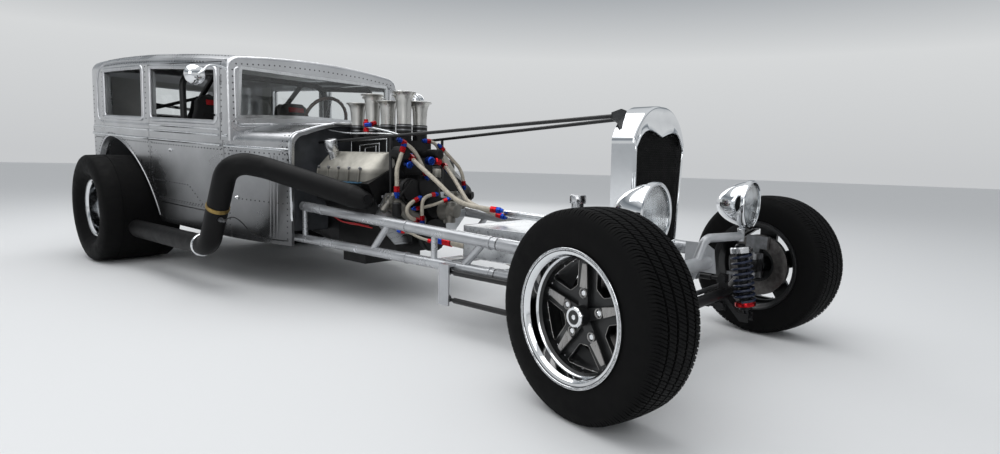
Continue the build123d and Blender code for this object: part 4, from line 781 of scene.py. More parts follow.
# The pump castings share the covers' finish and sit below 690 mm, so they take its painted shade at its
# darkest.
castings = bmesh.new()
lathe(castings, [(-0.024, 0.019), (-0.021, 0.024), (0.020, 0.024), (0.024, 0.020), (0.024, 0.01)],
      place(0.0, 1.49, 0.70), (0, 0, 1), 28)
for side in (-1, 1):
    lathe(castings, [(0, 0.048), (0.012, 0.048), (0.016, 0.034), (0.034, 0.030), (0.05, 0.030)],
          place(side * 0.235, 1.588, 0.545), (0, -1, 0.2), 32)
    sweep(castings, [place(side * 0.235, 1.56, 0.55), place(side * 0.21, 1.535, 0.52),
                     place(side * 0.15, 1.525, 0.47), place(side * 0.07, 1.54, 0.44)],
          [0.030, 0.032, 0.034, 0.040], 16)
    sweep(castings, [place(side * 0.30, 1.575, 0.50), place(side * 0.22, 1.575, 0.585)], 0.017, 12)
lathe(castings, [(0, 0.05), (0.06, 0.05), (0.07, 0.036), (0.10, 0.034), (0.104, 0.026)],
      place(0.02, 1.46, 0.50), (0.1, -1, 0), 32)
sweep(castings, [place(0.02, 1.40, 0.44), place(0.02, 1.40, 0.55)], 0.028, 14)
piece("pump_castings", castings, cast_alloy, "chassis", 40)
studs = bmesh.new()
for side in (-1, 1):
    for turn in range(8):
        angle = 2 * pi * turn / 8
        lathe(studs, [(0, 0.0055), (0.006, 0.0055), (0.0075, 0.004)],
              place(side * 0.235 + 0.041 * cos(angle), 1.576, 0.547 + 0.041 * sin(angle)), (0, -1, 0.2), 6)
for x, z in ((-0.31, 0.53), (-0.29, 0.575), (-0.16, 0.575), (-0.10, 0.34), (0.10, 0.34), (0.16, 0.575),
             (0.29, 0.575), (0.31, 0.53)):
    lathe(studs, [(0, 0.008), (0.007, 0.008), (0.0085, 0.006)], place(x, 1.5885, z), (0, -1, 0), 6)
piece("nose_bolts", studs, plain_steel, "chassis")
# The belt is the outline of three pulleys, taken as one flat loop. Columns: across, up, and radius.
pulleys = [(0, 0.365, 0.090), (0, 0.520, 0.064), (-0.168, 0.610, 0.060)]
pulley_steps = 72
belt_steps = 144
turns = [2 * pi * n / pulley_steps for n in range(pulley_steps)]
rim_points = [(x + r * cos(turn), z + r * sin(turn)) for x, z, r in pulleys for turn in turns]
loop = []
for n in range(belt_steps):
    angle = 2 * pi * n / belt_steps
    loop.append(max(rim_points, key=lambda p: p[0] * cos(angle) + p[1] * sin(angle)))
loop = [p for p, q in zip(loop, loop[1:] + loop[:1]) if p != q]
belt = bmesh.new()
middle = Vector((sum(p[0] for p in loop) / len(loop), sum(p[1] for p in loop) / len(loop)))
bands_at = []
for y, grow in ((1.502, 0.0), (1.502, 0.004), (1.528, 0.004), (1.528, 0.0)):
    ring = []
    for x, z in loop:
        out = (Vector((x, z)) - middle).normalized() * grow
        ring.append(belt.verts.new(place(x + out.x, y, z + out.y)))
    bands_at.append(ring)
bridge(belt, bands_at, closed=True)
piece("drive_belt", belt, hose_black, "chassis")

# Motor plate, tank and filler tank: sheet aluminium brushed across the car, so that its tone drifts in long
# streaks, with folded and welded seams. The filler has a turned neck and a screwed cap.
sheet_alloy, tree, shader, mm = new_finish("brushed_sheet_aluminium", "#c2c4c6", 0.3, 1.0)
patchy(tree, shader, mm, 14, ("#b6b8ba", "#cdcfd1"), (0.24, 0.4), stretch=(0.05, 1, 1))
for node in ("motor_plate", "fuel_tanks"):
    dress(node, sheet_alloy)
seams = bmesh.new()
for z in (0.4725, 0.327):
    corners = rounded([(-0.2515, 0.6005), (0.2515, 0.6005), (0.2515, 1.0445), (-0.2515, 1.0445)], 0.03, 6)
    sweep(seams, [place(x, y, z) for x, y in corners], 0.0022, 6, True)
for x in (-0.209, 0.029):
    hoop(seams, -0.003, 0.003, 0.0605, 0.0635, place(x, 0.5, 0.520), (1, 0, 0), 48)
hoop(seams, -0.004, 0.002, 0.0255, 0.031, place(-0.11, 0.5, 0.582), (0, 0, 1), 40)
piece("tank_seams", seams, sheet_alloy, "chassis")
cap_teeth = 28
cap = bmesh.new()
outline = [(0.0335 + (0.0012 if n % 2 else 0), 2 * pi * n / (2 * cap_teeth)) for n in range(2 * cap_teeth)]
rings = []
for z, grow in ((0.606, -0.002), (0.608, 0), (0.638, 0), (0.6415, -0.004), (0.6415, -0.02)):
    rings.append([cap.verts.new(place(-0.11 + (r + grow) * cos(a), 0.5 + (r + grow) * sin(a), z))
                  for r, a in outline])
skin_bar(cap, rings)
piece("filler_cap", cap, spun_alloy, "chassis", 50)

# Exhausts: big welded steel pipe in a flat black heat coating that hardly reflects. A brass band joins the
# drop, a bright ring clamps the side pipe, and a sensor screws into the front of the drop.
pipe_coat, tree, shader, mm = new_finish("black_heat_coating", "#0a0a0b", 0.5)
patchy(tree, shader, mm, 70, ("#070708", "#0c0c0d"), (0.42, 0.54))
shader.inputs["Specular IOR Level"].default_value = 0.16
dress("exhausts", pipe_coat)
cones = bmesh.new()
for side in (-1, 1):
    root = place(side * 0.404, 1.694, 0.5762)
    back = Vector((-side * 0.238, -0.430, -0.131)).normalized()
    lathe(cones, [(-0.01, 0.0572), (0.0, 0.0585), (0.006, 0.0585), (0.012, 0.0572), (0.045, 0.053),
                  (0.085, 0.043), (0.112, 0.031), (0.118, 0.018)], root, back, 48)
    for y in (1.675, 1.79):
        sweep(cones, [place(side * 0.30, y, 0.560), place(side * 0.335, y - 0.012, 0.566),
                      place(side * 0.368, y - 0.045, 0.566), place(side * 0.385, y - 0.09, 0.566)], 0.0225,
              16)
piece("exhaust_collectors", cones, pipe_coat, "chassis", 50)
band_brass, tree, shader, mm = new_finish("heated_brass_band", "#8f7a4a", 0.35, 1.0)
patchy(tree, shader, mm, 30, ("#80693c", "#9c8756"), (0.28, 0.44))
drop = Vector((0.013, 0.469, -0.883)).normalized()
drop_bands = bmesh.new()
pipe_rings = bmesh.new()
sensors = bmesh.new()
for side in (-1, 1):
    along = Vector((side * drop.x, drop.y, drop.z))
    lathe(drop_bands, [(-0.011, 0.057), (-0.011, 0.0605), (-0.004, 0.0605), (-0.002, 0.0625),
                       (0.002, 0.0625), (0.004, 0.0605), (0.011, 0.0605), (0.011, 0.057)],
          place(side * 0.7988, 2.350, 0.488), along, 56, True)
    lathe(pipe_rings, [(-0.009, 0.057), (-0.009, 0.061), (-0.004, 0.0655), (0.004, 0.0655), (0.009, 0.061),
                       (0.009, 0.057)], place(side * 0.802, 2.552, 0.262), (0, 1, 0), 56, True)
    root = place(side * 0.802, 2.375, 0.43)
    lathe(sensors, [(0.05, 0.013), (0.066, 0.013), (0.066, 0.0085), (0.095, 0.0085), (0.095, 0.006),
                    (0.105, 0.006)], root, (0, -0.93, -0.1), 16)
piece("exhaust_bands", drop_bands, band_brass, "chassis")
piece("exhaust_rings", pipe_rings, nut_chrome, "chassis")
piece("exhaust_sensors", sensors, plain_steel, "chassis")
runs_piece("sensor_wires",
           [(0.0032, [(side * 0.802, 2.272, 0.42), (side * 0.80, 2.20, 0.455), (side * 0.77, 2.15, 0.43),
                      (side * 0.70, 2.14, 0.33), (side * 0.50, 2.16, 0.30)]) for side in (-1, 1)],
           hose_black)

# Radiator shell: a deep shell of bright chrome, screwed over a black painted core, with woven black wire
# across its heart-shaped opening. The wires are drawn 9 mm apart, coarser than real ones, so that they show.
chrome, tree, shader, mm = new_finish("bright_chrome_plate", "#e9ebed", 0.04, 1.0)
patchy(tree, shader, mm, 90, ("#e3e5e7", "#eef0f2"), (0.03, 0.06))
core_coat, tree, shader, mm = new_finish("black_core_paint", "#070707", 0.6)
patchy(tree, shader, mm, 40, ("#050505", "#0a0a0a"), (0.52, 0.7))
shader.inputs["Specular IOR Level"].default_value = 0.2
dress("radiator_core", core_coat)
wire_pitch = 0.009
wire_radius = 0.0008
wire_wave = 0.0009
wire_plane = 0.2035
lobes = [(-0.2, 0.838), (-0.17, 0.879), (-0.143, 0.897), (-0.116, 0.904), (-0.085, 0.903), (-0.05, 0.896),
         (0, 0.882)]
lobes += [(-x, z) for x, z in lobes[-2::-1]]


def top_of(x):
    """Height of the opening's heart-shaped edge at a point across it."""
    for (x0, z0), (x1, z1) in zip(lobes, lobes[1:]):
        if x0 <= x <= x1:
            return z0 + (z1 - z0) * (x - x0) / (x1 - x0)
    return 0.80


def arc_points(start, middle, end, count):
    """Points on the circle through three (y, z) points."""
    (ay, az), (by, bz), (cy, cz) = start, middle, end
    divisor = 2 * (ay * (bz - cz) + by * (cz - az) + cy * (az - bz))
    far_a, far_b, far_c = ay * ay + az * az, by * by + bz * bz, cy * cy + cz * cz
    mid_y = (far_a * (bz - cz) + far_b * (cz - az) + far_c * (az - bz)) / divisor
    mid_z = (far_a * (cy - by) + far_b * (ay - cy) + far_c * (by - ay)) / divisor
    radius = sqrt((ay - mid_y) ** 2 + (az - mid_z) ** 2)
    first, last = atan2(az - mid_z, ay - mid_y), atan2(cz - mid_z, cy - mid_y)
    return [(mid_y + radius * cos(first + (last - first) * n / count),
             mid_z + radius * sin(first + (last - first) * n / count)) for n in range(count + 1)]


def even_loop(runs, counts):
    """Points evenly along several joined runs, each with its own count."""
    loop = []
    for run, count in zip(runs, counts):
        reach = [0]
        for (x0, z0), (x1, z1) in zip(run, run[1:]):
            reach.append(reach[-1] + sqrt((x1 - x0) ** 2 + (z1 - z0) ** 2))
        for n in range(count):
            wanted = reach[-1] * n / count
            spot = max(k for k in range(len(run) - 1) if reach[k] <= wanted)
            share = (wanted - reach[spot]) / (reach[spot + 1] - reach[spot])
            (x0, z0), (x1, z1) = run[spot], run[spot + 1]
            loop.append(Vector((x0 + (x1 - x0) * share, z0 + (z1 - z0) * share)))
    return loop


def pushed(loop, amount):
    """The loop moved outwards by an amount."""
    moved = []
    for before, here, after in zip(loop[-1:] + loop[:-1], loop, loop[1:] + loop[:1]):
        along = (after - before).normalized()
        moved.append(here + Vector((along.y, -along.x)) * amount)
    return moved


arch = arc_points((0.214, 0.866), (0.160, 0.9475), (0, 1.002), 20)
parts_of_rim = (14, 26, 26, 26, 26)
outer = even_loop([[(-0.194, 0.438), (0.194, 0.438)], [(0.194, 0.438), (0.214, 0.866)], arch,
                   [(-x, z) for x, z in arch[::-1]], [(-0.214, 0.866), (-0.194, 0.438)]], parts_of_rim)
heart = even_loop([[(-0.180, 0.460), (0.180, 0.460)], [(0.180, 0.460), (0.2, 0.838)], lobes[::-1][:7],
                   lobes[::-1][6:], [(-0.2, 0.838), (-0.180, 0.460)]], parts_of_rim)
face = [(a + b) / 2 for a, b in zip(outer, heart)]
shell_form = bmesh.new()
rings = []
for loop, y in ((pushed(outer, -0.006), 0.290), (outer, 0.290), (outer, 0.203),
                (pushed(outer, -0.0012), 0.1975), (pushed(outer, -0.0042), 0.1935),
                (pushed(outer, -0.009), 0.1912), (face, 0.1935), (pushed(heart, 0.0065), 0.1925),
                (pushed(heart, 0.0045), 0.1885), (pushed(heart, 0.0018), 0.1872), (heart, 0.1890),
                (heart, 0.200), (pushed(heart, 0.0025), 0.2015), (pushed(outer, -0.006), 0.205)):
    ring = []
    for point in loop:
        drawn_back = 0.010 * max(0, point.y - 0.88) / 0.1 if loop is face else 0
        ring.append(shell_form.verts.new(place(point.x, y + drawn_back, point.y)))
    rings.append(ring)
bridge(shell_form, rings, closed=True)
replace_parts(piece("radiator_shell_rolled", shell_form, chrome, "chassis", 50), "radiator_shell")
wires = bmesh.new()
columns = int(0.196 / wire_pitch)
for n in range(-columns, columns + 1):
    x = n * wire_pitch
    low, high = 0.456, top_of(x) + 0.004
    if abs(x) > 0.178:
        low = 0.456 + (abs(x) - 0.178) * 19
    count = max(2, int((high - low) / (wire_pitch / 2)))
    run = [place(x, wire_plane + wire_wave * (-1) ** (n + step), low + (high - low) * step / count)
           for step in range(count + 1)]
    sweep(wires, run, wire_radius, 4)
for n in range(int((0.905 - 0.46) / wire_pitch)):
    z = 0.4605 + n * wire_pitch
    half_steps = [k * wire_pitch / 2 for k in range(-44, 45)]
    inside = [x for x in half_steps if z < top_of(x) and abs(x) < 0.181 + (z - 0.46) * 0.05]
    runs = [[x for x in inside if x <= 0], [x for x in inside if x >= 0]] if z > 0.882 else [inside]
    for run in runs:
        if len(run) > 1:
            woven = [place(x, wire_plane - wire_wave * (-1) ** (n + round(x / wire_pitch)), z) for x in run]
            sweep(wires, woven, wire_radius, 4)
piece("grille_wires", wires, core_coat, "chassis")

# Headlamps: deep chromed bowls, bolted on short stalks. Behind each fluted glass sit a polished reflector
# and a capped bulb, and a plated rim clips the glass in.
bowls = bmesh.new()
for side in (-1, 1):
    centre = place(side * 0.45, -0.025, 0.612)
    lathe(bowls, [(0.002, 0.1065), (0.012, 0.1060), (0.03, 0.1025), (0.05, 0.0965), (0.07, 0.0885),
                  (0.09, 0.0780), (0.108, 0.0655), (0.124, 0.0510), (0.136, 0.0360), (0.144, 0.0210),
                  (0.1475, 0.008), (0.1475, 0.0005), (0.143, 0.0005), (0.139, 0.02), (0.12, 0.048),
                  (0.088, 0.074), (0.05, 0.092), (0.014, 0.1015), (0.002, 0.1020)], centre, (0, 1, 0), 96,
          True)
    lathe(bowls, [(0.5023 - 0.612, 0.0095), (-0.100, 0.0095), (-0.094, 0.016), (-0.086, 0.021)],
          place(side * 0.45, 0.006, 0.612), (0, 0, 1), 28)
    lathe(bowls, [(-0.110, 0.0165), (-0.1035, 0.0165), (-0.102, 0.0145)], place(side * 0.45, 0.006, 0.612),
          (0, 0, 1), 6)
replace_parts(piece("headlamp_bowls", bowls, chrome, "chassis", 50), "headlamp_shells")
glass, tree, shader, mm = new_finish("clear_lamp_glass", "#f4f6f7", 0.03)
patchy(tree, shader, mm, 50, ("#f1f3f4", "#f8fafb"), (0.02, 0.05))
shader.inputs["Transmission Weight"].default_value = 1.0
reflector_silver, tree, shader, mm = new_finish("polished_reflector", "#e4e6e8", 0.08, 1.0)
patchy(tree, shader, mm, 30, ("#dbdddf", "#eceef0"), (0.06, 0.14))
bulb_glass, tree, shader, mm = new_finish("frosted_bulb_cap", "#c9cdd0", 0.25, 0.6)
patchy(tree, shader, mm, 10, ("#bfc3c6", "#d2d6d9"), (0.2, 0.32))
lamp_glass = bmesh.new()
reflectors = bmesh.new()
lamp_rims = bmesh.new()
bulbs = bmesh.new()
lens_radius = 0.0965
lens_bow = 0.007
flute_pitch = 0.0075
flute_depth = 0.0006


def panel(form, rows, flipped=False):
    """Faces over rows of corners. The corners round the edge come back, in order."""
    for low, high in zip(rows, rows[1:]):
        for a, b, c, d in zip(low, low[1:], high[1:], high):
            form.faces.new((d, c, b, a) if flipped else (a, b, c, d))
    return rows[0] + [row[-1] for row in rows[1:]] + rows[-1][-2::-1] + [row[0] for row in rows[-2:0:-1]]


for side in (-1, 1):
    centre = place(side * 0.45, -0.025, 0.612)
    rows = []
    for n in range(-64, 65):
        x = lens_radius * sin(pi / 2 * n / 64)
        half = sqrt(max(lens_radius ** 2 - x * x, 4e-6))
        rows.append([])
        for step in range(25):
            z = half * (step / 12 - 1)
            bow = lens_bow * (1 - (x * x + z * z) / lens_radius ** 2)
            flute = flute_depth * cos(2 * pi * x / flute_pitch)
            rows[-1].append(centre + Vector((x, -0.0005 - (bow + flute), z)))
    edges = []
    for depth in (0, 0.004):
        sheet = [[lamp_glass.verts.new(point + Vector((0, depth, 0))) for point in row] for row in rows]
        edges.append(panel(lamp_glass, sheet, flipped=depth == 0))
    bridge(lamp_glass, edges)
    lathe(reflectors, [(0.012, 0.0955), (0.03, 0.086), (0.05, 0.072), (0.068, 0.052), (0.08, 0.026),
                       (0.083, 0.012), (0.085, 0.012), (0.082, 0.027), (0.07, 0.053), (0.052, 0.073),
                       (0.032, 0.087), (0.014, 0.0962)], centre, (0, 1, 0), 64, True)
    lathe(lamp_rims, [(-0.007, 0.0960), (-0.0095, 0.0985), (-0.0095, 0.1045), (-0.006, 0.1085),
                      (0.004, 0.1105), (0.012, 0.1095), (0.012, 0.1065), (-0.002, 0.1055), (-0.002, 0.0970)],
          centre, (0, 1, 0), 96, True)
    lathe(bulbs, [(0.028, 0.004), (0.030, 0.012), (0.038, 0.0165), (0.055, 0.0165), (0.07, 0.010),
                  (0.084, 0.010)], centre, (0, 1, 0), 24)
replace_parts(piece("headlamp_fluted_glass", lamp_glass, glass, "chassis", 60), "headlamp_lenses")
piece("headlamp_reflectors", reflectors, reflector_silver, "chassis")
piece("headlamp_rims", lamp_rims, chrome, "chassis")
piece("headlamp_bulbs", bulbs, bulb_glass, "chassis")

# Mirrors: a round chromed head with a domed back and a silvered flat glass that reflects sharply. A bent
# arm bolts each one to its screen pillar.
mirror_heads = bmesh.new()
mirror_glass = bmesh.new()
for side in (-1, 1):
    centre = place(side * 0.800, 2.557, 1.196)
    lathe(mirror_heads, [(-0.034, 0.006), (-0.0325, 0.020), (-0.027, 0.035), (-0.016, 0.047),
                         (-0.002, 0.0545), (0.009, 0.056), (0.012, 0.0545), (0.012, 0.050), (0.010, 0.0495),
                         (0.010, 0.006)], centre, (0, 1, 0), 56, True)
    lathe(mirror_heads, [(-0.034, 0.0061), (0.010, 0.0061)], centre, (0, 1, 0), 56)
    lathe(mirror_glass, [(0.0095, 0.0492), (0.0108, 0.0492)], centre, (0, 1, 0), 56)
    arm = [(side * 0.574, 2.600, 1.237), (side * 0.62, 2.585, 1.256), (side * 0.70, 2.560, 1.262),
           (side * 0.745, 2.535, 1.246), (side * 0.77, 2.518, 1.216), (side * 0.795, 2.518, 1.198),
           (side * 0.80, 2.535, 1.196)]
    mirror_heads.from_mesh(nurbs_run(arm, 0.0062))
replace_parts(piece("mirror_heads", mirror_heads, chrome, "chassis", 40), "mirrors")
mirror_silver, tree, shader, mm = new_finish("silvered_mirror_glass", "#cfd3d6", 0.02, 1.0)
patchy(tree, shader, mm, 40, ("#caced1", "#d4d8db"), (0.01, 0.04))
piece("mirror_glasses", mirror_glass, mirror_silver, "chassis")

# Body shell: hand-formed sheet steel, left bare and brushed. It blurs what it reflects, drifts in tone from
# one panel to the next and is painted darker towards the sill, partly for duller steel low down and partly as
# painted shade for the dark ground that the lower panels reflect; single brush strokes are too fine to be
# drawn.
# Panels are lapped and riveted, window edges are rolled, and a bright double moulding runs round the belt.
rake = radians(2.5)
rake_pivot = 2.18
clear_of_body = 1.3


def on_body(x, y, z):
    """A point of the body's own level frame, raked nose-down to where it stands on the car."""
    away = y - rake_pivot
    return place(x, rake_pivot + away * cos(rake) - z * sin(rake), away * sin(rake) + z * cos(rake))


def skin_of(*nodes):
    """A search tree over the faces of some CAD nodes."""
    corners = []
    faces = []
    for node in nodes:
        start = len(corners)
        corners += [vertex.co.copy() for vertex in frame["nodes"][node].data.vertices]
        for polygon in frame["nodes"][node].data.polygons:
            faces.append([start + corner for corner in polygon.vertices])
    return BVHTree.FromPolygons(corners, faces)


def hits(skin, rays, depth):
    """Runs of points where (start, direction) rays meet the skin, sunk by a depth. A miss ends a run."""
    runs = [[]]
    for start, towards in rays:
        hit, normal, _, _ = skin.ray_cast(start, towards)
        if hit and (hit - start).length < 1.0:
            runs[-1].append(hit - normal * depth)
        elif runs[-1]:
            runs.append([])
    return [run for run in runs if len(run) > 1]


def walk(points, step, closed=False):
    """Points at an even step along a line through flat points."""
    route = points + points[:1] if closed else points
    line = []
    for (a0, b0), (a1, b1) in zip(route, route[1:]):
        count = max(1, round(sqrt((a1 - a0) ** 2 + (b1 - b0) ** 2) / step))
        line += [(a0 + (a1 - a0) * n / count, b0 + (b1 - b0) * n / count) for n in range(count)]
    return line if closed else line + [route[-1]]


def trace(skin, side, points, depth=0.0, step=0.012, closed=False):
    """Runs of points on the skin along level (y, z) points, seen from one side and sunk by a depth."""
    rays = []
    for y, z in walk(points, step, closed):
        start = on_body(0, y, z)
        rays.append((Vector((side * clear_of_body, start.y, start.z)), Vector((-side, 0, 0))))
    return hits(skin, rays, depth)


def trace_front(skin, points, depth=0.0, step=0.012, closed=False, start_y=2.0):
    """The same for (x, z) points seen from the front."""
    rays = [(on_body(x, start_y, z), Vector((0, 1, 0))) for x, z in walk(points, step, closed)]
    return hits(skin, rays, depth)


def trace_round(skin, y, first, last, depth=0.0, centre_z=0.55, steps=90):
    """The same for a girdle round the body at one station, between two angles from the top."""
    centre = on_body(0, y, centre_z)
    rays = []
    for n in range(steps + 1):
        angle = radians(first + (last - first) * n / steps)
        outward = Vector((sin(angle), 0, cos(angle)))
        rays.append((centre + outward * 1.1, -outward))
    return hits(skin, rays, depth)


def plate_on(form, skin, side, rows, lift, columns=18):
    """A thin plate laid on the skin: rows of (z, first y, last y), with its edge turned into the skin."""
    grid = []
    for z, y0, y1 in rows:
        line = trace(skin, side, [(y0 + (y1 - y0) * n / columns, z) for n in range(columns + 1)], -lift,
                     10.0)
        grid.append([form.verts.new(point) for point in line[0]])
    rim = panel(form, grid)
    inward = Vector((-side * (lift + 0.002), 0, 0))
    bridge(form, [rim, [form.verts.new(vert.co + inward) for vert in rim]])


def rivet_tree(finish):
    """Node group: domed heads at an even pitch along the edges it is given."""
    group = bpy.data.node_groups.new("rivet_rows", "GeometryNodeTree")
    sockets = group.interface
    sockets.new_socket("Lines", in_out="INPUT", socket_type="NodeSocketGeometry")
    sockets.new_socket("Pitch", in_out="INPUT", socket_type="NodeSocketFloat")
    sockets.new_socket("Radius", in_out="INPUT", socket_type="NodeSocketFloat")
    sockets.new_socket("Heads", in_out="OUTPUT", socket_type="NodeSocketGeometry")
    given = add(group, "NodeGroupInput").outputs
    curves = add(group, "GeometryNodeMeshToCurve", {0: given["Lines"]})
    points = add(group, "GeometryNodeCurveToPoints", {"Curve": curves.outputs[0], "Length": given["Pitch"]},
                 mode="LENGTH")
    head = add(group, "GeometryNodeMeshIcoSphere", {"Radius": given["Radius"], "Subdivisions": 2})
    heads = add(group, "GeometryNodeInstanceOnPoints",
                {"Points": points.outputs["Points"], "Instance": head.outputs["Mesh"]})
    real = add(group, "GeometryNodeRealizeInstances", {0: heads.outputs[0]})
    smooth = add(group, "GeometryNodeSetShadeSmooth", {0: real.outputs[0]})
    painted = add(group, "GeometryNodeSetMaterial", {"Geometry": smooth.outputs[0], "Material": finish})
    add(group, "NodeGroupOutput", {0: painted.outputs[0]})
    return group


def rivets(name, group, runs, pitch, radius, body):
    """Rivet heads along runs of points, as one piece."""
    mesh = bpy.data.meshes.new(name + "_lines")
    corners = []
    edges = []
    for run in runs:
        edges += [(len(corners) + n, len(corners) + n + 1) for n in range(len(run) - 1)]
        corners += run
    mesh.from_pydata(corners, edges, [])
    made = bpy.data.objects.new(name, mesh)
    bpy.context.scene.collection.objects.link(made)
    rows = made.modifiers.new("rows", "NODES")
    rows.node_group = group
    for socket in group.interface.items_tree:
        if socket.name in ("Pitch", "Radius") and socket.in_out == "INPUT":
            rows[socket.identifier] = pitch if socket.name == "Pitch" else radius
    made.data = bpy.data.meshes.new_from_object(made.evaluated_get(bpy.context.evaluated_depsgraph_get()))
    made.modifiers.clear()
    made.data.materials.clear()
    made.data.materials.append(group.nodes["Set Material"].inputs["Material"].default_value)
    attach(made, body)
    return made


bare_steel, tree, shader, mm = new_finish("brushed_bare_steel", "#b9babc", 0.32, 1.0)
patchy(tree, shader, mm, 380, ("#bcbdbf", "#d8d9db"), (0.24, 0.37))
height = add(tree, "ShaderNodeSeparateXYZ", {0: mm}).outputs["Z"]
# Painted shade: the colour is multiplied darker below 960 mm, down to 0.2 at 300 mm, partly for duller steel
# low down and partly for the dark ground that the lower panels reflect.
sill_dulling_and_painted_shade = add(tree, "ShaderNodeMapRange", {0: height, 1: 300.0, 2: 960.0, 3: 0.2, 4: 1.0})
polish = shader.inputs["Base Color"].links[0].from_socket
shaded = add(tree, "ShaderNodeMixRGB", {0: 1.0, 1: polish, 2: sill_dulling_and_painted_shade.outputs[0]}, blend_type="MULTIPLY")
tree.links.new(shaded.outputs[0], shader.inputs["Base Color"])
for node in ("body_shell", "door_left", "door_right"):
    dress(node, bare_steel)
trim_steel, tree, shader, mm = new_finish("polished_trim_steel", "#d3d5d7", 0.14, 1.0)
patchy(tree, shader, mm, 40, ("#c6c8ca", "#dcdee0"), (0.1, 0.22))
# The rivet heads are painted dark: partly the dark sealant round them, partly painted shade for the shadow
# round each small head.
rivet_finish_with_painted_shade, tree, shader, mm = new_finish("rivet_heads_sealant_and_painted_shade", "#3c3d40", 0.5, 0.8)
patchy(tree, shader, mm, 9, ("#2c2d2f", "#4a4b4e"), (0.4, 0.6))
riveting = rivet_tree(rivet_finish_with_painted_shade)
rivet_pitch = 0.033
rivet_radius = 0.0052
rivet_sink = 0.0022
moulding_radius = 0.0085
moulding_heights = (0.8015, 0.859)
gutter_height = 0.894
bead_radius = 0.0165

shell_skin = skin_of("body_shell")
door_skins = {"left": skin_of("door_left"), "right": skin_of("door_right")}

# Level (y, z) outlines of the windows and the wheel arch, as the CAD has them.
door_window = rounded([(2.744, 0.93), (3.584, 0.93), (3.584, 1.268), (2.744, 1.242)], 0.036)
quarter_window = rounded([(3.694, 0.93), (4.468, 0.93), (4.468, 1.27), (3.694, 1.27)], 0.036)
arch_front = arc_points((3.44, 0.202), (3.7, 0.549), (4.275, 0.792), 30)
arch_top = Vector(arch_front[-1])
arch_centre_side = (arch_top - Vector(arch_front[-2])).normalized().orthogonal()
arch_foot = Vector((4.672, 0.202)) - arch_top
towards = -arch_centre_side if arch_centre_side.y > 0 else arch_centre_side
small = arch_foot.length_squared / (2 * arch_foot.dot(towards))
centre = arch_top + towards * small
first = atan2(arch_top.y - centre.y, arch_top.x - centre.x)
last = atan2(0.202 - centre.y, 4.672 - centre.x)
arch_line = [p for p in arch_front if p[1] > 0.27]
for n in range(1, 21):
    turn = first + (last - first) * n / 20
    arch_line.append((centre.x + small * cos(turn), centre.y + small * sin(turn)))
arch_line = [p for p in arch_line if p[1] > 0.27]


def grown(line, amount, about=(4.07, 0.33)):
    """The same line pushed away from a point by an amount."""
    moved = []
    for y, z in line:
        away = Vector((y - about[0], z - about[1])).normalized() * amount
        moved.append((y + away.x, z + away.y))
    return moved


body_rows = [
    [(2.262, 0.285), (3.40, 0.285)],
    [(2.234, 0.30), (2.234, 0.90)],
    [(2.655, 0.30), (2.655, 0.79)],
    [(2.690, 0.30), (2.690, 0.79)],
    [(2.690, 0.88), (2.690, 1.235)],
    [(2.262, 0.50), (2.640, 0.50)],
    [(3.628, 0.50), (3.628, 0.785)],
    [(3.64, 0.775), (4.70, 0.775)],
    [(2.25, 0.775), (2.66, 0.775)],
    [(3.648, 0.90), (3.648, 1.27)],
    [(4.51, 0.90), (4.51, 1.26)],
    [(4.735, 0.30), (4.735, 1.16)],
    [(2.70, 1.268), (3.0, 1.286), (3.55, 1.298), (4.05, 1.306), (4.44, 1.300)],
    [(2.70, 1.312), (3.0, 1.33), (3.55, 1.342), (4.05, 1.35), (4.44, 1.345)],
    grown(arch_line, 0.026),
]
door_rows = [
    [(2.722, 0.78), (2.722, 0.413), (3.495, 0.413), (3.583, 0.525), (3.583, 0.78)],
    [(2.735, 0.775), (3.57, 0.775)],
]
patch_rows = [(0.412, 2.90, 3.50), (0.455, 2.958, 3.534), (0.50, 3.021, 3.570), (0.544, 3.084, 3.584)]
patch_edge = [(3.572, 0.534), (3.09, 0.534), (2.925, 0.422), (3.48, 0.422)]
gutter = [(2.665, 1.283), (2.8, 1.291), (3.0, 1.301), (3.3, 1.309), (3.55, 1.313), (3.8, 1.318),
          (4.05, 1.322), (4.3, 1.322), (4.45, 1.317), (4.54, 1.295), (4.60, 1.255), (4.628, 1.19),
          (4.634, 1.10), (4.634, 0.98), (4.62, 0.925), (4.58, 0.902), (4.50, gutter_height),
          (3.607, gutter_height)]
beads = bmesh.new()
mouldings = bmesh.new()
flutes = bmesh.new()
shell_rivets = []
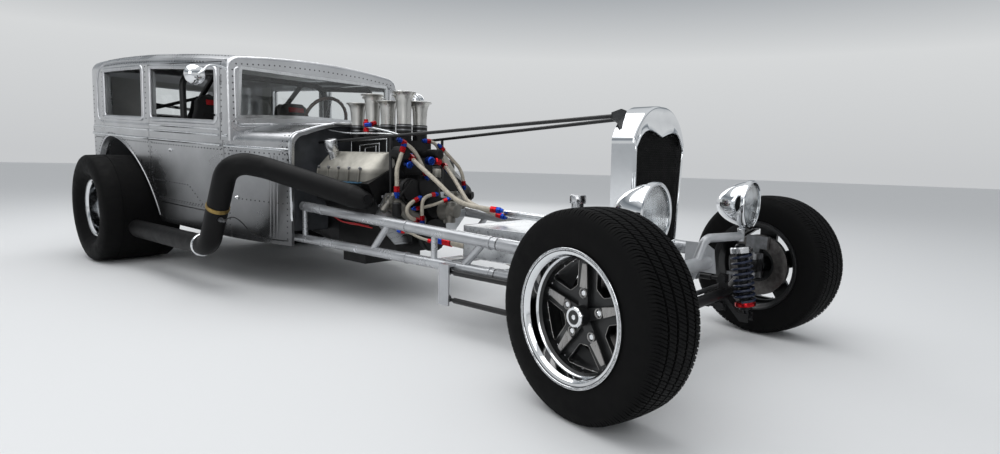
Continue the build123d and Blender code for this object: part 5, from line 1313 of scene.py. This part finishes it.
for word, side in (("left", 1), ("right", -1)):
    for row in body_rows:
        shell_rivets += trace(shell_skin, side, row, rivet_sink)
    door_rivets = []
    for row in door_rows:
        door_rivets += trace(door_skins[word], side, row, rivet_sink)
    door_rivets += trace(door_skins[word], side, patch_edge, rivet_sink - 0.0016, closed=True)
    rivets(f"door_{word}_rivets", riveting, door_rivets, rivet_pitch, rivet_radius, f"{word}_door")
    for run in trace(shell_skin, side, quarter_window, 0.006, closed=True):
        sweep(beads, run, bead_radius, 14, True)
    for station in (2.300, 2.322, 2.344):
        for run in trace(shell_skin, side, [(station, 0.30), (station, 0.765)], 0.002, 0.03):
            sweep(flutes, run, 0.0068, 8)
    for run in trace(shell_skin, side, grown(arch_line, 0.004), 0.001):
        sweep(beads, run, 0.0065, 10)
    for run in trace(shell_skin, side, gutter, -0.001):
        sweep(beads, run, 0.0075, 10)
    for first_y, height in zip((2.225, 2.630), moulding_heights):
        for line in ([(first_y, height), (2.680, height)], [(3.607, height), (4.75, height)]):
            for run in trace(shell_skin, side, line, 0.0005):
                sweep(mouldings, run, moulding_radius, 10)
    door_bead = bmesh.new()
    for run in trace(door_skins[word], side, door_window, 0.006, closed=True):
        sweep(door_bead, run, bead_radius, 14)
    plate_on(door_bead, door_skins[word], side, patch_rows, 0.0016)
    piece(f"door_{word}_window_bead", door_bead, bare_steel, f"{word}_door")
    door_moulding = bmesh.new()
    for height in (*moulding_heights, gutter_height):
        for run in trace(door_skins[word], side, [(2.719, height), (3.593, height)], 0.0005):
            sweep(door_moulding, run, moulding_radius, 10)
    piece(f"door_{word}_moulding", door_moulding, trim_steel, f"{word}_door")
screen_outline = rounded([(-0.556, 0.96), (-0.28, 0.981), (0, 0.986), (0.28, 0.981), (0.556, 0.96),
                          (0.556, 1.262), (-0.556, 1.262)], 0.03)
screen_bead = [(x * 1.021, z + (0.012 if z > 1.1 else -0.012)) for x, z in screen_outline]
for run in trace_front(shell_skin, screen_bead, 0.005, closed=True):
    sweep(beads, run, 0.012, 12)
for line in ([(-0.56, 1.296), (-0.3, 1.318), (0, 1.324), (0.3, 1.318), (0.56, 1.296)],
             [(-0.583, 1.26), (-0.583, 0.97)], [(0.583, 1.26), (0.583, 0.97)]):
    shell_rivets += trace_front(shell_skin, line, rivet_sink)
for station in (2.226, 2.252):
    shell_rivets += trace_round(shell_skin, station, -78, 78, rivet_sink)
for run in trace_round(shell_skin, 2.212, -105, 105, 0.004, 0.5, 120):
    sweep(mouldings, run, 0.009, 10)
piece("cowl_flutes", flutes, bare_steel, "chassis")
piece("rolled_edges", beads, bare_steel, "chassis")
piece("belt_mouldings", mouldings, trim_steel, "chassis")
rivets("body_rivets", riveting, shell_rivets, rivet_pitch, rivet_radius, "chassis")

# Door hinges, push plates, tail lamps and the rubber round the back window. Hinge barrels are turned steel,
# the push plates are chromed ovals, and the tail lamps are round red glass, deep in tone, in a plated ring.
hinges = bmesh.new()
fittings = bmesh.new()
for word, side in (("left", 1), ("right", -1)):
    for height in (0.47, 0.70, 0.96, 1.17):
        seat = trace(shell_skin, side, [(2.697, height), (2.696, height)], 0.001, 1.0)[0][0]
        lathe(hinges, [(-0.027, 0.004), (-0.024, 0.0068), (-0.009, 0.0068), (-0.008, 0.0060),
                       (-0.007, 0.0068), (0.007, 0.0068), (0.008, 0.0060), (0.009, 0.0068), (0.024, 0.0068),
                       (0.027, 0.004)], seat, (0, 0, 1), 14)
    push_plate = bmesh.new()
    button = trace(door_skins[word], side, [(3.31, 0.742), (3.309, 0.742)], 0.0, 1.0)[0][0]
    turns = [2 * pi * n / 32 for n in range(32)]
    oval = [button + Vector((side * 0.0035, 0.026 * cos(turn), 0.011 * sin(turn))) for turn in turns]
    top = [push_plate.verts.new(point) for point in oval]
    low = [push_plate.verts.new(point - Vector((side * 0.005, 0, 0))) for point in oval]
    crown = push_plate.verts.new(button + Vector((side * 0.0065, 0, 0)))
    bridge(push_plate, [low, top])
    for here, following in zip(top, top[1:] + top[:1]):
        push_plate.faces.new((here, following, crown))
    push_plate.faces.new(low[::-1])
    piece(f"door_{word}_push_plate", push_plate, chrome, f"{word}_door")
    stud = trace(shell_skin, side, [(2.585, 0.505), (2.584, 0.505)], 0.001, 1.0)[0][0]
    lathe(fittings, [(0, 0.013), (0.004, 0.013), (0.007, 0.0105), (0.013, 0.009), (0.017, 0.005)], stud,
          (side, 0, 0), 24)
piece("door_hinges", hinges, plain_steel, "chassis")
lamp_red, tree, shader, mm = new_finish("red_tail_lamp_glass", "#a80f14", 0.12)
patchy(tree, shader, mm, 14, ("#9c0c11", "#b31318"), (0.08, 0.18))
shader.inputs["Transmission Weight"].default_value = 0.3
tail_glass = bmesh.new()
rubber_edge = bmesh.new()
for side in (-1, 1):
    start = on_body(side * 0.50, 5.4, 0.60)
    hit = shell_skin.ray_cast(start, Vector((0, -1, 0)))[0]
    lathe(fittings, [(-0.01, 0.040), (0.012, 0.040), (0.016, 0.037), (0.014, 0.034), (0.004, 0.033),
                     (-0.01, 0.033)], hit, (0, 1, 0), 40, True)
    lathe(tail_glass, [(0.0, 0.0335), (0.010, 0.0335), (0.016, 0.028), (0.0195, 0.018), (0.021, 0.006)], hit,
          (0, 1, 0), 40)
back_outline = rounded([(-0.27, 0.985), (0.27, 0.985), (0.27, 1.205), (-0.27, 1.205)], 0.045, 8)
for start_y, towards, grow in ((5.4, -1, 1.01), (4.4, 1, 1.03)):
    rays = [(on_body(x * grow, start_y, 1.095 + (z - 1.095) * grow), Vector((0, towards, 0)))
            for x, z in walk(back_outline, 0.02, True)]
    for run in hits(shell_skin, rays, 0.004):
        sweep(rubber_edge, run, 0.014, 10, True)
piece("tail_lamp_glass", tail_glass, lamp_red, "chassis")
piece("body_fittings", fittings, chrome, "chassis")
window_rubber, tree, shader, mm = new_finish("black_window_rubber", "#0a0a0b", 0.6)
patchy(tree, shader, mm, 12, ("#070708", "#101011"), (0.5, 0.7))
piece("back_window_rubber", rubber_edge, window_rubber, "chassis")

# Firewall, floor, windscreen frame and glass. The firewall and the floor are folded sheet, riveted to the
# body, in dark grey and satin black paint with a faint sheen. The frame is polished steel, and the glass is
# clear.
dark_paint, tree, shader, mm = new_finish("dark_grey_panel_paint", "#3a3c3f", 0.4)
patchy(tree, shader, mm, 80, ("#313336", "#44464a"), (0.34, 0.5))
dress("firewall", dark_paint)
floor_coat, tree, shader, mm = new_finish("satin_floor_paint", "#1c1d1f", 0.55)
patchy(tree, shader, mm, 60, ("#18191b", "#232427"), (0.45, 0.65))
dress("floor_pan", floor_coat)
dress("windscreen_frame", trim_steel)
pane, tree, shader, mm = new_finish("clear_window_glass", "#eef2f2", 0.02)
patchy(tree, shader, mm, 200, ("#ecf0f0", "#f2f6f6"), (0.01, 0.03))
shader.inputs["Transmission Weight"].default_value = 1.0
dress("window_glass", pane)

# Ceiling and lining: pale painted panels, screwed in, close the roof, the quarters and the back inside. They
# keep clear of the skin and of the cage, with square cut-outs round the windows.
ceiling_paint, tree, shader, mm = new_finish("pale_grey_ceiling_paint", "#b9bab8", 0.6)
patchy(tree, shader, mm, 140, ("#b1b2b0", "#c1c2c0"), (0.55, 0.7))
ceiling = bmesh.new()
grid = []
for n in range(25):
    y = 2.72 + 0.08 * n
    line = []
    for step in range(-12, 13):
        start = on_body(step * 0.047, y, 1.05)
        hit = shell_skin.ray_cast(start, Vector((0, 0, 1)))[0]
        line.append(hit - Vector((0, 0, 0.007)))
    grid.append(line)
edges = []
for drop in (0, 0.003):
    sheet = [[ceiling.verts.new(point - Vector((0, 0, drop))) for point in line] for line in grid]
    edges.append(panel(ceiling, sheet, flipped=drop > 0))
bridge(ceiling, edges)
piece("ceiling_panel", ceiling, ceiling_paint, "chassis", 50)


def spread(stops, counts):
    """Even steps between stops, each gap with its own count."""
    values = []
    for low, high, count in zip(stops, stops[1:], counts):
        values += [low + (high - low) * n / count for n in range(count)]
    return values + [stops[-1]]


def lining(form, columns, rows, ray, cut):
    """A thin panel 6 mm inside the skin, on the cells of a grid of rays that all hit and aren't cut out."""
    grid = {}
    for i, a in enumerate(columns):
        for j, b in enumerate(rows):
            start, towards = ray(a, b)
            hit = shell_skin.ray_cast(start, towards)[0]
            if hit:
                grid[i, j] = form.verts.new(hit - towards * 0.006)
    for i in range(len(columns) - 1):
        for j in range(len(rows) - 1):
            corners = [(i, j), (i + 1, j), (i + 1, j + 1), (i, j + 1)]
            middle = ((columns[i] + columns[i + 1]) / 2, (rows[j] + rows[j + 1]) / 2)
            if all(corner in grid for corner in corners) and not cut(*middle):
                form.faces.new([grid[corner] for corner in corners])


lined = bmesh.new()
lining(lined, spread((-0.53, -0.295, 0.295, 0.53), (6, 12, 6)),
       spread((0.80, 0.955, 1.235, 1.275), (4, 8, 2)), lambda x, z: (on_body(x, 4.40, z), Vector((0, 1, 0))),
       lambda x, z: abs(x) < 0.295 and 0.955 < z < 1.235)
for side in (-1, 1):
    lining(lined, spread((3.66, 3.676, 4.486, 4.63), (1, 18, 4)), spread((0.80, 0.912, 1.288), (4, 12)),
           lambda y, z: (on_body(side * 0.3, y, z), Vector((side, 0, 0))),
           lambda y, z: 3.676 < y < 4.486 and z > 0.912)
bmesh.ops.recalc_face_normals(lined, faces=lined.faces)
bmesh.ops.solidify(lined, geom=lined.faces[:], thickness=0.002)
bmesh.ops.delete(lined, geom=[vertex for vertex in lined.verts if not vertex.link_faces], context="VERTS")
piece("lining_panels", lined, ceiling_paint, "chassis", 50)

# Dashboard: a folded panel in the chassis' satin black, with three round gauges pushed in from the front.
# Their dials are plain white paint behind bright turned bezels.
dress("dashboard", black_coat)
dials = bmesh.new()
bezels = bmesh.new()
for x in (-0.10, 0.08, 0.29):
    centre = on_body(x, 2.706, 0.868)
    lathe(dials, [(-0.006, 0.036), (0.002, 0.036)], centre, (0, 1, 0), 40)
    lathe(bezels, [(-0.006, 0.036), (0.006, 0.036), (0.009, 0.039), (0.006, 0.043), (-0.006, 0.043)], centre,
          (0, 1, 0), 40, True)
dial_white, tree, shader, mm = new_finish("white_dial_paint", "#dfe0dc", 0.5)
patchy(tree, shader, mm, 15, ("#d8d9d5", "#e5e6e2"), (0.44, 0.56))
piece("gauge_dials", dials, dial_white, "chassis")
piece("gauge_bezels", bezels, chrome, "chassis")

# Roll cage: bent steel tube, welded and standing on the floor, in the chassis' satin black. A main hoop
# behind the seats carries two bars forward and two braces back.
dress("roll_cage", black_coat)

# Steering wheel: a laminated rim of dark wood under gloss varnish, with finger grips, riveted to three
# flat alloy spokes. A satin black column carries it.
wood, tree, shader, mm = new_finish("laminated_dark_wood", "#4a2a1a", 0.22)
patchy(tree, shader, mm, 8, ("#3a2013", "#5f3922"), (0.18, 0.3), stretch=(1, 0.15, 1))
shader.inputs["Coat Weight"].default_value = 0.6
tilt = radians(22)
hub_at = place(0.29, 2.99, 1.03)
column_dir = Vector((0, -cos(tilt), -sin(tilt)))
wheel_right = Vector((1, 0, 0))
wheel_up = column_dir.cross(wheel_right) * -1
grip_steps = 96
rim_line = []
for n in range(grip_steps):
    angle = 2 * pi * n / grip_steps
    reach = 0.1708 - 0.0012 * (n % 4 == 0)
    rim_line.append(hub_at + (wheel_right * cos(angle) + wheel_up * sin(angle)) * reach)
rim = bmesh.new()
sweep(rim, rim_line, [0.0128 if n % 4 else 0.0118 for n in range(grip_steps)], 12, True)
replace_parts(piece("steering_rim", rim, wood, "chassis", 60), "steering_wheel")
spokes = bmesh.new()
spoke_half = 0.0018
for angle in (radians(-90), radians(30), radians(150)):
    out = wheel_right * cos(angle) + wheel_up * sin(angle)
    wide = out.cross(column_dir)
    profile = [(0.020, 0.018, 0.012), (0.055, 0.013, 0.010), (0.11, 0.010, 0.007), (0.163, 0.014, 0.004)]
    quads = []
    for reach, half, sink in profile:
        middle = hub_at + out * reach + column_dir * sink
        corners = ((-1, -1), (1, -1), (1, 1), (-1, 1))
        quads.append([spokes.verts.new(middle + wide * a * half + column_dir * b * spoke_half)
                      for a, b in corners])
    skin_bar(spokes, quads)
lathe(spokes, [(0.004, 0.012), (0.006, 0.030), (0.016, 0.032), (0.024, 0.026)], hub_at, column_dir, 40)
piece("steering_spokes", spokes, spun_alloy, "chassis")
column = bmesh.new()
lathe(column, [(0.022, 0.019), (0.06, 0.0195), (0.07, 0.016), (0.755, 0.016)], hub_at, column_dir, 28)
piece("steering_column", column, black_coat, "chassis")

# Seats: high-backed race buckets. Foam pads in black cloth are stuffed tight, with bolsters at the sides and
# a red head band. Black belts with red shoulder pads come through two slots in each back. The cloth drinks
# light and shows only a grain; its threads are drawn 2.5 mm apart, coarser than real ones, so they show.
seat_cloth, tree, shader, mm = new_finish("black_woven_seat_cloth", "#0d0d0e", 0.85)
thread_pitch = 2.5
thread = add(tree, "ShaderNodeTexChecker",
             {"Vector": mm, "Scale": 1 / thread_pitch, "Color1": linear("#0a0a0b"),
              "Color2": linear("#151516")})
tree.links.new(thread.outputs["Color"], shader.inputs["Base Color"])
weave = add(tree, "ShaderNodeBump", {"Height": thread.outputs["Fac"], "Distance": 0.0003, "Strength": 0.6})
tree.links.new(weave.outputs[0], shader.inputs["Normal"])
shader.inputs["Sheen Weight"].default_value = 0.2
foam_voxel = 0.009
seat_x = 0.31
back_slope = 0.245
cloth_frames = 20
cloth_pressure = 4


def slab(outline, depth, point_at):
    """A closed slab: an outline through a depth, laid out by a function of (across, up, thickness)."""
    form = bmesh.new()
    rings = []
    for share in (0, 0.2, 0.5, 0.8, 1):
        shrink = 1 - 0.06 * (abs(share - 0.5) * 2) ** 3
        rings.append([form.verts.new(point_at(a * shrink, b, share * depth)) for a, b in outline])
    skin_bar(form, rings)
    bmesh.ops.recalc_face_normals(form, faces=form.faces)
    return form


def mirror(form):
    """Turns a form into its mirror image on the other side of the car."""
    bmesh.ops.scale(form, vec=(-1, 1, 1), verts=form.verts)
    bmesh.ops.reverse_faces(form, faces=form.faces)


def stuffed(name, form, voxel, reach):
    """The slab's shell, evened out and blown up as cloth, no point further than a reach. Gives a mesh."""
    mesh = bpy.data.meshes.new(name)
    form.to_mesh(mesh)
    form.free()
    shell = bpy.data.objects.new(name, mesh)
    bpy.context.scene.collection.objects.link(shell)
    even = shell.modifiers.new("even", "REMESH")
    even.mode = "VOXEL"
    even.voxel_size = voxel
    shell.data = bpy.data.meshes.new_from_object(shell.evaluated_get(bpy.context.evaluated_depsgraph_get()))
    shell.modifiers.clear()
    rest = [vertex.co.copy() for vertex in shell.data.vertices]
    cloth = shell.modifiers.new("filling", "CLOTH")
    cloth.settings.use_pressure = True
    cloth.settings.uniform_pressure_force = cloth_pressure
    cloth.settings.effector_weights.gravity = 0
    for number in range(1, cloth_frames + 1):
        bpy.context.scene.frame_set(number)
    blown = bpy.data.meshes.new_from_object(shell.evaluated_get(bpy.context.evaluated_depsgraph_get()))
    shell.modifiers.clear()
    bpy.context.scene.frame_set(1)
    for vertex, start in zip(blown.vertices, rest):
        move = vertex.co - start
        if move.length > reach:
            vertex.co = start + move * (reach / move.length)
    shell.data = blown
    finished = shell.data.copy()
    bpy.data.objects.remove(shell)
    return finished


def seat_piece(name, meshes, finish, side):
    """Stuffed meshes made for the left seat, as one padded piece of the left or the mirrored right seat."""
    form = bmesh.new()
    for mesh in meshes:
        form.from_mesh(mesh)
    if side < 0:
        mirror(form)
    made = piece(name, form, finish, "chassis", 80, mend=False)
    return made


lean = Vector((0, back_slope, 1)).normalized()
face_out = Vector((0, -1, back_slope)).normalized()


def on_back(a, b, c):
    """Across, up along and out from the seat back."""
    return place(seat_x + a, 3.372, 0.515) + lean * b + face_out * c


def on_cushion(a, b, c):
    """Across, back along and up from the seat base."""
    return place(seat_x + a, 2.925, 0.365) + Vector((0, b, c))


back_outline = [(-0.165, 0.0), (-0.185, 0.22), (-0.190, 0.38), (-0.172, 0.47), (-0.128, 0.585),
                (-0.112, 0.645), (-0.075, 0.672), (0.075, 0.672), (0.112, 0.645), (0.128, 0.585),
                (0.172, 0.47), (0.190, 0.38), (0.185, 0.22), (0.165, 0.0)]
bolster_outline = [(0.125, 0.01), (0.186, 0.01), (0.202, 0.22), (0.205, 0.38), (0.184, 0.47), (0.146, 0.46),
                   (0.146, 0.34), (0.140, 0.2)]
cushion_outline = [(-0.172, 0.0), (-0.178, 0.15), (-0.172, 0.37), (0.172, 0.37), (0.178, 0.15), (0.172, 0.0),
                   (0.12, -0.014), (-0.12, -0.014)]
thigh_outline = [(0.125, 0.0), (0.186, 0.0), (0.188, 0.2), (0.186, 0.37), (0.125, 0.37)]
pads = {
    "back": [stuffed("seat_back", slab(back_outline, 0.085, on_back), foam_voxel, 0.014)],
    "cushion": [stuffed("seat_cushion", slab(cushion_outline, 0.105, on_cushion), foam_voxel, 0.014)],
}
bolsters = []
for outline, depth, where in ((bolster_outline, 0.135, on_back), (thigh_outline, 0.135, on_cushion)):
    mesh = stuffed("bolster", slab(outline, depth, where), foam_voxel, 0.012)
    twin = bmesh.new()
    twin.from_mesh(mesh)
    bmesh.ops.translate(twin, vec=(-seat_x, 0, 0), verts=twin.verts)
    mirror(twin)
    bmesh.ops.translate(twin, vec=(seat_x, 0, 0), verts=twin.verts)
    other = bpy.data.meshes.new("bolster_twin")
    twin.to_mesh(other)
    twin.free()
    bolsters += [mesh, other]
band_outline = [(-0.064, 0.583), (-0.064, 0.620), (0.064, 0.620), (0.064, 0.583)]
band_form = slab(band_outline, 0.016, lambda a, b, c: on_back(a, b, c + 0.092))
head_band = stuffed("head_band", band_form, 0.005, 0.004)
belt_red, tree, shader, mm = new_finish("red_woven_belt_pad", "#b3141a", 0.75)
weft = add(tree, "ShaderNodeTexChecker",
           {"Vector": mm, "Scale": 0.5, "Color1": linear("#a31116"), "Color2": linear("#c2181e")})
tree.links.new(weft.outputs["Color"], shader.inputs["Base Color"])
belt_black, tree, shader, mm = new_finish("black_woven_belt_webbing", "#101011", 0.7)
ribs = add(tree, "ShaderNodeTexChecker",
           {"Vector": mm, "Scale": 0.6, "Color1": linear("#0d0d0e"), "Color2": linear("#161617")})
tree.links.new(ribs.outputs["Color"], shader.inputs["Base Color"])
belt_pads = []
belt_offsets = (-0.06, 0.06)
for across in belt_offsets:
    pad_outline = [(across - 0.052, 0.345), (across - 0.052, 0.45), (across + 0.052, 0.45),
                   (across + 0.052, 0.345)]
    pad = slab(pad_outline, 0.022, lambda a, b, c: on_back(a, b, c + 0.096))
    belt_pads.append(stuffed("belt_pad", pad, 0.006, 0.005))
webbing = bmesh.new()
for across in belt_offsets:
    line = [(0.02, 0.104), (0.25, 0.103), (0.40, 0.103), (0.490, 0.102), (0.505, 0.094), (0.510, 0.070)]
    strips = []
    for up, out in line:
        left, right = on_back(across - 0.024, up, out), on_back(across + 0.024, up, out)
        strips.append((webbing.verts.new(left), webbing.verts.new(right)))
    for (a, b), (c, d) in zip(strips, strips[1:]):
        webbing.faces.new((a, b, d, c))
bmesh.ops.solidify(webbing, geom=webbing.faces[:], thickness=0.002)
for across in belt_offsets:
    left, right = across - 0.036, across + 0.036
    slot = rounded([(left, 0.497), (right, 0.497), (right, 0.523), (left, 0.523)], 0.012, 6)
    sweep(webbing, [on_back(a, b, 0.098) for a, b in slot], 0.004, 8, True)
straps = bpy.data.meshes.new("straps")
webbing.to_mesh(straps)
webbing.free()
for side in (-1, 1):
    form = bmesh.new()
    form.from_mesh(straps)
    if side < 0:
        mirror(form)
    word = "left" if side > 0 else "right"
    piece(f"seat_{word}_straps", form, belt_black, "chassis")
    seat_piece(f"seat_{word}_back", pads["back"], seat_cloth, side)
    seat_piece(f"seat_{word}_bolsters", bolsters, seat_cloth, side)
    seat_piece(f"seat_{word}_head_band", [head_band], belt_red, side)
    seat_piece(f"seat_{word}_belt_pads", belt_pads, belt_red, side)
    cushion = seat_piece(f"seat_{word}_cushion", pads["cushion"], seat_cloth, side)
    if side > 0:
        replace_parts(cushion, "seats")
shells = bmesh.new()
for side in (-1, 1):
    for outline, where, depth in ((back_outline, on_back, -0.004), (cushion_outline, on_cushion, -0.012)):
        form = slab([(a * 1.04, b) for a, b in outline], depth, where)
        if side < 0:
            mirror(form)
        mesh = bpy.data.meshes.new("seat_shell")
        form.to_mesh(mesh)
        form.free()
        shells.from_mesh(mesh)
        bpy.data.meshes.remove(mesh)
piece("seat_shells", shells, black_coat, "chassis")
